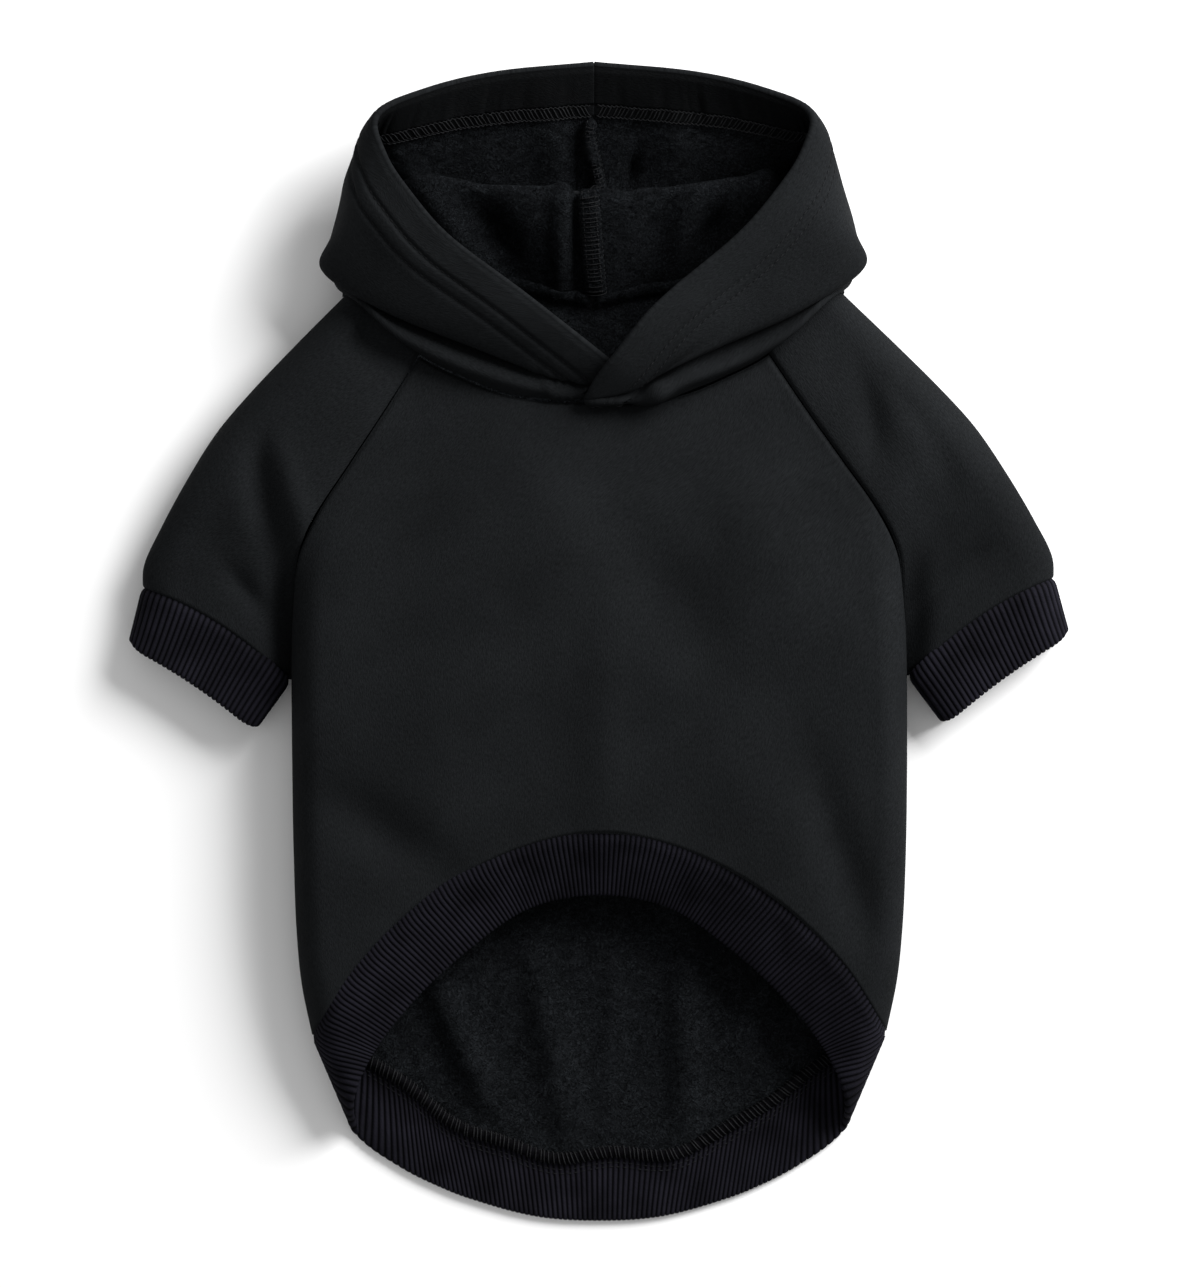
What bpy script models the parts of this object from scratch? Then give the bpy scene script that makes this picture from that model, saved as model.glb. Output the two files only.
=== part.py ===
"""Dog hoodie lying flat, belly side up.

A fleece-lined pullover with raglan sleeves, rib cuffs, a rib hem band and a hood in two halves.
It lies on its back panel: +Z is up, +Y points to the hood, and the chest spans X.
Every piece is an open surface, worked out from the sizes below and given its cloth thickness.
"""

from collections import namedtuple

import bpy
import numpy as np

# Driving sizes in metres
CHEST_WIDTH = 0.256
BODY_LENGTH = 0.388
BODY_LOFT = 0.034
SIDE_FOLD_RADIUS = 0.014
FOLD_SHARE = 0.3
NECK_WIDTH = 0.209
NECK_DROP = 0.0445
SLEEVE_SPAN = 0.380
SLEEVE_DROP = 0.121
SLEEVE_LOFT = 0.024
CUFF_DEPTH = 0.0230
CUFF_LOFT = 0.0165
HEM_LOFT = 0.023
HOOD_WIDTH = 0.229
HOOD_LENGTH = 0.097
HOOD_LOFT = 0.050
HOOD_LAP = 0.0134
CLOTH = 0.0024
RIB_CLOTH = 0.0028
HOOD_HEM = 0.0175

# Clearances between pieces in metres
SEAM_GAP = 0.0005
RAGLAN_GAP = 0.0008
FOLD_GAP = 0.0007
NECK_GAP = 0.0015
RIB_GAP = 0.0011

# Mesh steps
FOLD_STEPS = 4
BODY_FLAT_STEPS = 10
SLEEVE_FLAT_STEPS = 3
RAGLAN_STEPS = 8
SIDE_STEPS = 7
CUFF_STEPS = 3
BAND_STEPS = 3
STATION_STEPS = 2
PATH_STEPS = 5

Edge = namedtuple("Edge", "out along")
Raglan = namedtuple("Raglan", "out belly_along back_along height")
Side = namedtuple("Side", "out along height")
Height = namedtuple("Height", "along height")
Bulge = namedtuple("Bulge", "along out")
Station = namedtuple("Station", "seam lap roll crease fold band rim")

# Half neckline from the shoulder corner to the centre, in shares of half NECK_WIDTH and of NECK_DROP
FRONT_NECK = (
    Edge(1.00, 0.00),
    Edge(0.94, 0.05),
    Edge(0.83, 0.29),
    Edge(0.70, 0.56),
    Edge(0.52, 0.78),
    Edge(0.36, 0.93),
    Edge(0.18, 1.00),
    Edge(0.00, 1.00),
)
BACK_NECK = (
    Edge(1.00, 0.00),
    Edge(0.70, -0.07),
    Edge(0.45, -0.08),
    Edge(0.22, -0.02),
    Edge(0.00, 0.12),
)
RAGLAN_NECK_SHARE = 0.70

# Raglan seam below the neckline: out in CHEST_WIDTH, along in BODY_LENGTH, height in BODY_LOFT
RAGLAN = (
    Raglan(0.344, 0.124, 0.085, 0.82),
    Raglan(0.403, 0.181, 0.155, 0.86),
    Raglan(0.460, 0.237, 0.225, 0.85),
    Raglan(0.490, 0.282, 0.278, 0.80),
    Raglan(0.497, 0.330, 0.330, 0.66),
    Raglan(0.500, 0.380, 0.380, 0.50),
    Raglan(0.501, 0.426, 0.426, 0.40),
)
RAGLAN_TOP_HEIGHT = 0.72
SEAM_GROOVE = 0.0014

# Side fold from the armpit to the hem, in the same shares
SIDE = (
    Side(0.501, 0.426, 0.40),
    Side(0.500, 0.520, 0.47),
    Side(0.498, 0.600, 0.47),
    Side(0.493, 0.685, 0.44),
    Side(0.485, 0.740, 0.40),
    Side(0.468, 0.796, 0.35),
)
BODY_CROWN = (
    Height(0.00, 0.72),
    Height(0.25, 0.90),
    Height(0.50, 0.97),
    Height(0.75, 0.90),
    Height(1.00, 0.76),
)
BODY_DOME = 0.12

# Half hem curves from the side fold to the centre, in shares of CHEST_WIDTH and of BODY_LENGTH
BELLY_HEM = (
    Edge(0.468, 0.796),
    Edge(0.402, 0.726),
    Edge(0.296, 0.656),
    Edge(0.166, 0.605),
    Edge(0.044, 0.581),
    Edge(0.000, 0.579),
)
BACK_HEM = (
    Edge(0.468, 0.796),
    Edge(0.424, 0.810),
    Edge(0.362, 0.833),
    Edge(0.287, 0.867),
    Edge(0.220, 0.900),
    Edge(0.156, 0.919),
    Edge(0.075, 0.929),
    Edge(0.000, 0.930),
)
BELLY_EDGE = (
    Edge(0.410, 0.887),
    Edge(0.406, 0.862),
    Edge(0.379, 0.819),
    Edge(0.307, 0.757),
    Edge(0.217, 0.702),
    Edge(0.122, 0.659),
    Edge(0.044, 0.645),
    Edge(0.000, 0.643),
)
BACK_EDGE = (
    Edge(0.410, 0.887),
    Edge(0.403, 0.902),
    Edge(0.328, 0.941),
    Edge(0.246, 0.968),
    Edge(0.213, 0.976),
    Edge(0.123, 0.993),
    Edge(0.074, 0.998),
    Edge(0.000, 1.000),
)
BELLY_EDGE_HEIGHT = 0.84
BAND_SIDE_HEIGHT = 0.42

# Shoulder fold beside the chord from neck corner to cuff, in shares of that chord
SHOULDER = (
    Bulge(0.00, 0.000),
    Bulge(0.20, 0.036),
    Bulge(0.39, 0.066),
    Bulge(0.52, 0.079),
    Bulge(0.66, 0.075),
    Bulge(0.84, 0.058),
    Bulge(0.95, 0.038),
    Bulge(1.00, 0.006),
)
# Sleeve heights from the neck to the cuff, in shares of SLEEVE_LOFT
SLEEVE_FOLD_HEIGHT = (
    Height(0.0, 0.52),
    Height(0.5, 0.58),
    Height(1.0, 0.42),
)
SLEEVE_CROWN = (
    Height(0.0, 1.02),
    Height(0.5, 1.10),
    Height(1.0, 0.80),
)
CUFF_SEAM_BOW = 0.06
CUFF_INNER_OUT = 0.513
CUFF_INNER_ALONG = 0.412
CUFF_LEAN_OUT = 0.27
CUFF_LEAN_IN = 0.74
CUFF_STRAIGHTENS = 0.45
CUFF_ROUND = 0.008
CUFF_CORNER = 0.0022

# Hood paths from the neck seam to the rim, one row per station from the back centre to the throat.
# seam is 0 at the back centre, 1 at the neck corner and 2 at the throat end, and lap is the share of
# HOOD_LAP by which the left half reaches on. The points are (out, along, height) in shares of half
# HOOD_WIDTH, HOOD_LENGTH and HOOD_LOFT.
HOOD = (
    Station(seam=0.00, lap=0.0, roll=(0.00, 0.20, 0.30), crease=(0.00, 0.45, 0.50),
            fold=(0.00, 0.39, 0.10), band=(0.00, 0.70, 0.29), rim=(0.00, 1.000, 0.58)),
    Station(seam=0.42, lap=0.0, roll=(0.35, 0.24, 0.30), crease=(0.36, 0.47, 0.50),
            fold=(0.37, 0.42, 0.10), band=(0.39, 0.68, 0.32), rim=(0.36, 0.957, 0.63)),
    Station(seam=0.76, lap=0.0, roll=(0.60, 0.27, 0.26), crease=(0.60, 0.50, 0.42),
            fold=(0.63, 0.46, 0.12), band=(0.67, 0.66, 0.40), rim=(0.62, 0.880, 0.72)),
    Station(seam=1.00, lap=0.0, roll=(0.90, 0.15, 0.10), crease=(0.89, 0.36, 0.07),
            fold=(0.85, 0.57, 0.26), band=(0.83, 0.71, 0.62), rim=(0.79, 0.775, 0.86)),
    Station(seam=1.06, lap=0.0, roll=(0.94, 0.07, 0.26), crease=(0.955, 0.16, 0.20),
            fold=(0.96, 0.24, 0.36), band=(0.88, 0.42, 0.76), rim=(0.76, 0.600, 0.93)),
    Station(seam=1.14, lap=0.0, roll=(0.85, -0.02, 0.62), crease=(0.89, 0.04, 0.48),
            fold=(0.975, 0.13, 0.60), band=(0.82, 0.28, 0.88), rim=(0.66, 0.420, 0.98)),
    Station(seam=1.32, lap=0.0, roll=(0.69, -0.18, 0.68), crease=(0.68, -0.09, 0.52),
            fold=(0.76, -0.04, 0.72), band=(0.63, 0.12, 0.92), rim=(0.52, 0.235, 1.00)),
    Station(seam=1.56, lap=0.2, roll=(0.43, -0.33, 0.68), crease=(0.42, -0.24, 0.56),
            fold=(0.48, -0.19, 0.74), band=(0.38, -0.08, 0.91), rim=(0.28, 0.000, 0.98)),
    Station(seam=1.80, lap=0.6, roll=(0.17, -0.42, 0.64), crease=(0.18, -0.37, 0.62),
            fold=(0.21, -0.335, 0.70), band=(0.15, -0.28, 0.80), rim=(0.09, -0.220, 0.88)),
    Station(seam=2.00, lap=1.0, roll=(-0.03, -0.422, 0.60), crease=(-0.028, -0.412, 0.62),
            fold=(-0.026, -0.400, 0.64), band=(-0.022, -0.385, 0.66), rim=(-0.018, -0.365, 0.68)),
)
THROAT_OUT = 0.03
LAP_LIFT = 0.0064
LAP_STEP = 0.0034

# How much the right sleeve lies nearer the hood than the left, in metres at a metre from the middle
SLEEVE_TILT = 0.055

# Sideways lean of the garment as it lies: along in BODY_LENGTH, shift in metres
LEAN = (
    Height(-0.25, -0.0018),
    Height(0.00, -0.0020),
    Height(0.30, 0.0000),
    Height(0.58, 0.0007),
    Height(0.75, 0.0005),
    Height(1.00, 0.0004),
)


def spline(places, values, at):
    """Smooth curve through the values: a cubic with the slopes of the neighbouring chords."""
    places = np.asarray(places, float)
    values = np.asarray(values, float)
    at = np.atleast_1d(np.asarray(at, float))
    steps = np.diff(places)
    rises = np.diff(values, axis=0)
    chords = rises / steps.reshape((-1,) + (1,) * (values.ndim - 1))
    slopes = np.empty_like(values)
    slopes[0] = chords[0]
    slopes[-1] = chords[-1]
    slopes[1:-1] = (chords[:-1] + chords[1:]) / 2
    index = np.clip(np.searchsorted(places, at, side="right") - 1, 0, len(places) - 2)
    shape = (-1,) + (1,) * (values.ndim - 1)
    step = steps[index].reshape(shape)
    part = ((at - places[index]) / steps[index]).reshape(shape)
    start = (1 + 2 * part) * (1 - part) ** 2 * values[index]
    end = part ** 2 * (3 - 2 * part) * values[index + 1]
    bend = part * (1 - part) ** 2 * slopes[index] - part ** 2 * (1 - part) * slopes[index + 1]
    return start + end + step * bend


def column(table, name):
    """One named column of a table as an array."""
    return np.array([getattr(row, name) for row in table])


def ramp(value, low, high):
    """Smooth step from 0 at low to 1 at high."""
    part = np.clip((value - low) / (high - low), 0, 1)
    return part * part * (3 - 2 * part)


def rise(distance, radius, roundness):
    """Height share beside an edge: a quarter circle where round, a soft parabola where not."""
    back = 1 - np.clip(distance / radius, 0, 1)
    return roundness * np.sqrt(1 - back ** 2) + (1 - roundness) * (1 - back ** 2)


def across_steps(width, radius, fold_steps, flat_steps):
    """Distances from one edge to the other, close together where both edges turn over."""
    angles = np.linspace(0, np.pi / 2, fold_steps + 1)
    fold = radius * (1 - np.cos(angles))
    flat = np.linspace(radius, width - radius, flat_steps + 1)[1:-1]
    return np.concatenate([fold, flat, (width - fold)[::-1]])


def along_curve(points, share):
    """Points at the given shares of the length of a polyline."""
    points = np.asarray(points, float)
    lengths = np.concatenate([[0], np.cumsum(np.linalg.norm(np.diff(points, axis=0), axis=1))])
    lengths = lengths / lengths[-1]
    return spline(lengths, points, share)


def lean(points):
    """Shifts points sideways by the lean of the garment, and along it where the sleeves lie askew."""
    moved = points.copy()
    place = -points[..., 1].ravel() / BODY_LENGTH
    place = np.clip(place, LEAN[0].along, LEAN[-1].along)
    shift = spline(column(LEAN, "along"), column(LEAN, "height"), place)
    moved[..., 0] += shift.reshape(points.shape[:-1])
    moved[..., 1] += SLEEVE_TILT * points[..., 0] * np.abs(points[..., 0])
    return moved


def neck_line(table, out):
    """Neckline point at a share of the half width, on the side that its sign gives."""
    out = np.atleast_1d(out)
    shares = column(table, "out")[::-1]
    drops = column(table, "along")[::-1]
    drop = spline(shares, drops, np.abs(out))
    return np.stack([out * NECK_WIDTH / 2, -drop * NECK_DROP], axis=-1)


def hem_line(table, side):
    """Hem curve from one side fold to the other, at shares 0 to 1 of its width."""
    half = np.stack([-column(table, "out") * CHEST_WIDTH, -column(table, "along") * BODY_LENGTH], axis=-1)
    mirrored = half[::-1][1:] * (-1, 1)
    return along_curve(np.concatenate([half, mirrored]), side)


def body_edge(share, back):
    """Plan and height of the left body edge: raglan seam to share 0.5, then the side fold."""
    neck = neck_line(BACK_NECK if back else FRONT_NECK, -RAGLAN_NECK_SHARE)[0]
    along = column(RAGLAN, "back_along" if back else "belly_along")
    seam_plan = np.stack([-column(RAGLAN, "out") * CHEST_WIDTH, -along * BODY_LENGTH], axis=-1)
    seam_plan = np.concatenate([[neck], seam_plan])
    heights = np.concatenate([[RAGLAN_TOP_HEIGHT], column(RAGLAN, "height")]) * BODY_LOFT
    side_plan = np.stack([-column(SIDE, "out") * CHEST_WIDTH, -column(SIDE, "along") * BODY_LENGTH], axis=-1)
    seam = along_curve(np.column_stack([seam_plan, heights]), np.clip(share * 2, 0, 1))
    side = along_curve(np.column_stack([side_plan, column(SIDE, "height") * BODY_LOFT]),
                       np.clip(share * 2 - 1, 0, 1))
    edge = np.where((share <= 0.5)[:, None], seam, side)
    if back:
        lift = ramp(share, 0.28, 0.5)
        edge[:, 2] = CLOTH / 2 + (edge[:, 2] - CLOTH / 2) * lift
    return edge


def body_rows():
    """Row shares of both body panels: raglan rows, then side rows."""
    seam = np.linspace(0, 0.5, RAGLAN_STEPS + 1)
    side = np.linspace(0.5, 1, SIDE_STEPS + 1)[1:]
    return np.concatenate([seam, side])


def body_panel(back):
    """Grid of a body panel: rows from neck to hem, columns from the left edge to the right."""
    shares = body_rows()
    left = body_edge(shares, back)
    right = left * (-1, 1, 1)
    hem_table = BACK_HEM if back else BELLY_HEM
    neck_table = BACK_NECK if back else FRONT_NECK
    crown = spline(column(BODY_CROWN, "along"), column(BODY_CROWN, "height"), shares) * BODY_LOFT
    rows = []
    for share, edge, other, top in zip(shares, left, right, crown):
        width = other[0] - edge[0]
        radius = min(SIDE_FOLD_RADIUS, width * FOLD_SHARE)
        distance = across_steps(width, radius, FOLD_STEPS, BODY_FLAT_STEPS)
        part = distance / width
        neck = neck_line(neck_table, (2 * part - 1) * RAGLAN_NECK_SHARE)
        hem = hem_line(hem_table, part)
        sides = (1 - part)[:, None] * edge[:2] + part[:, None] * other[:2]
        corners = blend_corners(part, share, neck, hem)
        plan = (1 - share) * neck + share * hem + sides - corners
        roundness = ramp(share, 0.30, 0.47)
        near = np.minimum(distance, width - distance)
        if back:
            level = CLOTH / 2
            height = edge[2] + (level - edge[2]) * rise(near, radius, 1.0)
            seam_side = -FOLD_GAP / 2
        else:
            level = top + BODY_DOME * BODY_LOFT * (1 - (2 * part - 1) ** 2)
            height = edge[2] + (level - edge[2]) * rise(near, radius, roundness)
            seam_side = FOLD_GAP / 2
        height = height + seam_side * ramp(share, 0.40, 0.50) * (1 - rise(near, radius, 1.0))
        rows.append(np.column_stack([plan, height]))
    return np.array(rows)


def blend_corners(part, share, neck, hem):
    """Bilinear surface through the corners of a panel, for the patch between four curves."""
    part = part[:, None]
    top = (1 - part) * neck[0] + part * neck[-1]
    bottom = (1 - part) * hem[0] + part * hem[-1]
    return (1 - share) * top + share * bottom


def sleeve_corners():
    """Plan points of the left sleeve: neck corner, cuff seam outer end and inner end."""
    neck = np.array([-NECK_WIDTH / 2, 0.0])
    outer = np.array([-SLEEVE_SPAN / 2, -SLEEVE_DROP])
    inner = np.array([-CUFF_INNER_OUT * CHEST_WIDTH, -CUFF_INNER_ALONG * BODY_LENGTH])
    return neck, outer, inner


def turned(vector):
    """Plan vector turned a quarter to its left."""
    return np.stack([-vector[..., 1], vector[..., 0]], axis=-1)


def shoulder_fold(share):
    """Plan points of the shoulder fold, bulging beside its chord."""
    neck, outer = sleeve_corners()[:2]
    chord = outer - neck
    rows = column(SHOULDER, "along")[:, None] * chord - column(SHOULDER, "out")[:, None] * turned(chord)
    return along_curve(neck + rows, share)


def cuff_seam(share):
    """Plan points of the cuff seam from its outer end to its inner end, bowed towards the neck."""
    outer, inner = sleeve_corners()[1:]
    chord = inner - outer
    bow = 4 * CUFF_SEAM_BOW * share * (1 - share)
    return outer + share[:, None] * chord + bow[:, None] * turned(chord)


def sleeve_layer(back):
    """Grid of one sleeve layer: rows from neck to cuff, columns from the shoulder fold to the raglan."""
    shares = np.linspace(0, 1, RAGLAN_STEPS + 1)
    seam = body_edge(shares / 2, back)
    direction = np.gradient(seam[:, :2], axis=0)
    direction /= np.linalg.norm(direction, axis=1)[:, None]
    closing = ramp(shares, 0.45, 0.85)
    gap = RAGLAN_GAP + (CLOTH + FOLD_GAP - SEAM_GAP) * closing
    seam[:, :2] += gap[:, None] * turned(direction) * -1
    inner = sleeve_corners()[2]
    seam[:, :2] += (inner - seam[-1, :2]) * (shares ** 6)[:, None]
    fold = shoulder_fold(shares)
    fold_height = spline(column(SLEEVE_FOLD_HEIGHT, "along"), column(SLEEVE_FOLD_HEIGHT, "height"), shares)
    crown = spline(column(SLEEVE_CROWN, "along"), column(SLEEVE_CROWN, "height"), shares)
    end_height = SLEEVE_LOFT * SLEEVE_CROWN[-1].height
    rows = []
    for index, share in enumerate(shares):
        width = np.linalg.norm(seam[index, :2] - fold[index])
        radius = min(SIDE_FOLD_RADIUS, width * FOLD_SHARE)
        distance = across_steps(width, radius, FOLD_STEPS, SLEEVE_FLAT_STEPS)
        part = distance / width
        neck_out = -1 + part * (1 - RAGLAN_NECK_SHARE)
        neck = neck_line(BACK_NECK if back else FRONT_NECK, neck_out)
        cuff = cuff_seam(part)
        sides = (1 - part)[:, None] * fold[index] + part[:, None] * seam[index, :2]
        neck_patch = neck + part[:, None] * (seam[0, :2] - neck[-1])
        plan = (1 - share) * neck_patch + share * cuff + sides
        plan = plan - blend_corners(part, share, neck_patch, cuff)
        fold_level = fold_height[index] * SLEEVE_LOFT
        seam_level = seam[index, 2]
        if back:
            level = np.full(len(part), CLOTH / 2)
            seam_level -= FOLD_GAP / 2 * closing[index]
        else:
            inside = seam[index, 2] + SEAM_GROOVE
            inside = inside + (end_height - inside) * ramp(share, 0.55, 1.0)
            level = crown[index] * SLEEVE_LOFT * (1 - part) + inside * part
            seam_level += FOLD_GAP / 2 * closing[index]
        outer_share = rise(distance, radius, 1.0)
        inner_share = rise(width - distance, radius, 1.0 if back else ramp(share, 0.6, 0.95))
        height = fold_level + (level - fold_level) * outer_share
        height = np.where(part > 0.5, seam_level + (level - seam_level) * inner_share, height)
        rows.append(np.column_stack([plan, height]))
    return np.array(rows)


def sleeve():
    """Grid of the left sleeve around its shoulder fold: raglan on the back to raglan on the belly."""
    lower = sleeve_layer(True)
    upper = sleeve_layer(False)
    return np.concatenate([lower[:, ::-1], upper[:, 1:]], axis=1)


def cuff(sleeve_grid):
    """Closed rib tube from the sleeve's last row to the free edge, thinner and leaning inwards."""
    seam = sleeve_grid[-1].copy()
    seam[0] = (seam[0] + seam[-1]) / 2
    seam = seam[:-1]
    outer, inner = sleeve_corners()[1:]
    chord = inner - outer
    length = np.linalg.norm(chord)
    across = chord / length
    down = turned(across) * -1
    part = (seam[:, :2] - outer) @ across / length
    lean_share = CUFF_LEAN_OUT + (CUFF_LEAN_IN - CUFF_LEAN_OUT) * part
    lean_in = np.stack([-lean_share, -np.ones(len(part))], axis=-1)
    lean_in /= np.linalg.norm(lean_in, axis=1)[:, None]
    corner = 1 - rise(np.minimum(part, 1 - part) * length, CUFF_ROUND, 1.0)
    rows = []
    for share in np.linspace(0, 1, CUFF_STEPS + 1):
        reach = RIB_GAP + share * (CUFF_DEPTH - CUFF_CORNER * corner)
        plan = seam[:, :2] + reach[:, None] * lean_in
        straight = 4 * CUFF_SEAM_BOW * part * (1 - part) * length
        plan = plan + share * CUFF_STRAIGHTENS * straight[:, None] * down
        scale = 1 + (CUFF_LOFT / (SLEEVE_LOFT * SLEEVE_CROWN[-1].height) - 1) * ramp(share, -0.3, 1.0)
        height = (seam[:, 2] - CLOTH / 2) * scale + RIB_CLOTH / 2
        rows.append(np.column_stack([plan, height]))
    return np.array(rows)


def hem_band(belly, back):
    """Closed rib loop from the seam under both body panels to the free edge."""
    upper = belly[-1].copy()
    lower = back[-1].copy()
    upper[0, 2] = (upper[0, 2] + lower[0, 2]) / 2
    upper[-1, 2] = (upper[-1, 2] + lower[-1, 2]) / 2
    seam = np.concatenate([upper, lower[::-1][1:-1]])
    width = upper[-1, 0] - upper[0, 0]
    part = (upper[:, 0] - upper[0, 0]) / width
    count = len(part)
    upper_plan = hem_line(BELLY_EDGE, part)
    lower_plan = hem_line(BACK_EDGE, part)
    near = np.minimum(part, 1 - part) * width
    share = rise(near, SIDE_FOLD_RADIUS, 1.0)
    side = BAND_SIDE_HEIGHT * HEM_LOFT
    upper_height = side + (BELLY_EDGE_HEIGHT * HEM_LOFT - side) * share
    lower_height = side + (RIB_CLOTH / 2 - side) * share
    upper_edge = np.column_stack([upper_plan, upper_height])
    lower_edge = np.column_stack([lower_plan, lower_height])
    edge = np.concatenate([upper_edge, lower_edge[::-1][1:-1]])
    seam[count:, 2] = np.maximum(seam[count:, 2], RIB_CLOTH / 2)
    toward = edge - seam
    length = np.linalg.norm(toward, axis=1)[:, None]
    start = seam + toward / length * RIB_GAP
    shares = np.linspace(0, 1, BAND_STEPS + 1)
    rows = [start + amount * (edge - start) for amount in shares]
    return np.array(rows)


def neck_loop(belly, back, sleeve_grid):
    """Left half of the neck edge as two polylines from the shoulder corner: back and belly."""
    middle = sleeve_grid.shape[1] // 2
    back_part = np.concatenate([sleeve_grid[0, :middle + 1][::-1], back[0, 1:back.shape[1] // 2 + 1]])
    belly_part = np.concatenate([sleeve_grid[0, middle:], belly[0, 1:]])
    return back_part, belly_part


def neck_points(parts, seam, lap):
    """Start points of the hood paths: along the neck edge and one clearance away from it."""
    back_part, belly_part = parts
    end = np.argmin(np.abs(belly_part[:, 0] - (lap + THROAT_OUT * HOOD_WIDTH / 2)))
    belly_part = belly_part[:end + 1]
    back_at = along_curve(back_part, np.clip(1 - seam, 0, 1))
    belly_at = along_curve(belly_part, np.clip(seam - 1, 0, 1))
    points = np.where((seam < 1)[:, None], back_at, belly_at)
    front = ramp(seam, 1.0, 1.12)
    direction = np.gradient(points[:, :2], axis=0)
    direction /= np.linalg.norm(direction, axis=1)[:, None] + 1e-9
    outward = (1 - front)[:, None] * np.array([0.0, 1.0]) + front[:, None] * turned(direction)
    outward /= np.linalg.norm(outward, axis=1)[:, None]
    corner = front * (1 - ramp(seam, 1.14, 1.35))
    throat = ramp(seam, 1.55, 1.85)
    step = NECK_GAP + front * CLOTH / 4 + corner * CLOTH / 3 + throat * CLOTH / 3
    points[:, :2] += step[:, None] * outward
    points[:, 2] += (throat - front) * CLOTH / 4
    return points


def hood_half(parts, side):
    """Grid of one hood half as on the left: rows are stations, columns run from neck to rim."""
    lap = HOOD_LAP if side == "left" else 0.0
    rows = np.arange(len(HOOD))
    at = np.linspace(0, len(HOOD) - 1, (len(HOOD) - 1) * STATION_STEPS + 1)
    seam = spline(rows, column(HOOD, "seam"), at)
    reach = spline(rows, column(HOOD, "lap"), at) * lap
    neck = neck_points(parts, seam, lap)
    guides = [neck]
    for name in ("roll", "crease", "fold", "band", "rim"):
        shares = spline(rows, column(HOOD, name), at)
        guide = shares * (-HOOD_WIDTH / 2, HOOD_LENGTH, HOOD_LOFT)
        guide[:, 0] += reach
        guides.append(guide)
    guides = np.array(guides)
    if side == "right":
        over = ramp(seam, 1.40, 1.75)
        forward = ramp(seam, 1.62, 1.85)
        guides[0, :, 1] -= forward * LAP_STEP
        guides[0, :, 2] += over * LAP_STEP
        guides[1:, :, 1] -= forward * LAP_STEP
        guides[1:, :, 2] += over * LAP_LIFT
    knots = np.arange(len(guides))
    path = np.linspace(0, len(guides) - 1, (len(guides) - 1) * PATH_STEPS + 1)
    grid = spline(knots, guides, path).transpose(1, 0, 2)
    grid[..., 2] = np.maximum(grid[..., 2], CLOTH / 2)
    grid[0, :, 0] = -SEAM_GAP
    return grid


def mirrored(grid):
    """Grid mirrored to the other side of the chest, with its columns turned round."""
    return (grid * (-1, 1, 1))[:, ::-1]


def quads(rows, columns, closed):
    """Corner numbers of the quads of a grid, closed round its columns where asked."""
    first = np.arange(rows * columns).reshape(rows, columns)
    if closed:
        first = np.concatenate([first, first[:, :1]], axis=1)
    corners = (first[:-1, :-1], first[1:, :-1], first[1:, 1:], first[:-1, 1:])
    return np.stack(corners, axis=-1).reshape(-1, 4)


def cloth(name, grid, thickness, colour, roughness, collection, closed=False, hem=None):
    """Adds a piece: the open surface, its thickness and its material."""
    rows, columns = grid.shape[:2]
    mesh = bpy.data.meshes.new(name)
    mesh.from_pydata(grid.reshape(-1, 3).tolist(), [], quads(rows, columns, closed).tolist())
    mesh.update()
    mesh.shade_smooth()
    item = bpy.data.objects.new(name, mesh)
    collection.objects.link(item)
    solid = item.modifiers.new("Cloth thickness", "SOLIDIFY")
    solid.thickness = thickness
    solid.offset = 0
    if hem is not None:
        group = item.vertex_groups.new(name="Hem")
        for index, weight in enumerate(hem.ravel().tolist()):
            group.add([index], weight, "REPLACE")
        solid.vertex_group = group.name
        solid.thickness = thickness * 2
        solid.thickness_vertex_group = 0.5
    material = bpy.data.materials.new(name)
    material.use_nodes = True
    shader = material.node_tree.nodes["Principled BSDF"]
    shader.inputs["Base Color"].default_value = colour
    shader.inputs["Roughness"].default_value = roughness
    mesh.materials.append(material)
    return item


def hem_weights(grid):
    """Share of the doubled cloth: full within the hem's width of the rim, none beyond it."""
    steps = np.linalg.norm(np.diff(grid, axis=1), axis=2)
    total = np.cumsum(steps[:, ::-1], axis=1)[:, ::-1]
    left = np.concatenate([total, np.zeros((len(grid), 1))], axis=1)
    started = ramp(left[:, :1] - left, 0.001, 0.006)
    return started * (1 - ramp(left, HOOD_HEM * 0.75, HOOD_HEM * 1.25))


def settle(items):
    """Centres the garment over the origin and sets its lowest point on the floor."""
    depsgraph = bpy.context.evaluated_depsgraph_get()
    corners = []
    for item in items:
        shape = item.evaluated_get(depsgraph).to_mesh()
        places = np.empty(len(shape.vertices) * 3)
        shape.vertices.foreach_get("co", places)
        places = places.reshape(-1, 3)
        corners.append(places.min(axis=0))
        corners.append(places.max(axis=0))
    low = np.min(corners, axis=0)
    high = np.max(corners, axis=0)
    shift = np.array([(low[0] + high[0]) / 2, (low[1] + high[1]) / 2, low[2]])
    for item in items:
        places = np.empty(len(item.data.vertices) * 3)
        item.data.vertices.foreach_get("co", places)
        places = (places.reshape(-1, 3) - shift).ravel()
        item.data.vertices.foreach_set("co", places)
        item.data.update()


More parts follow.
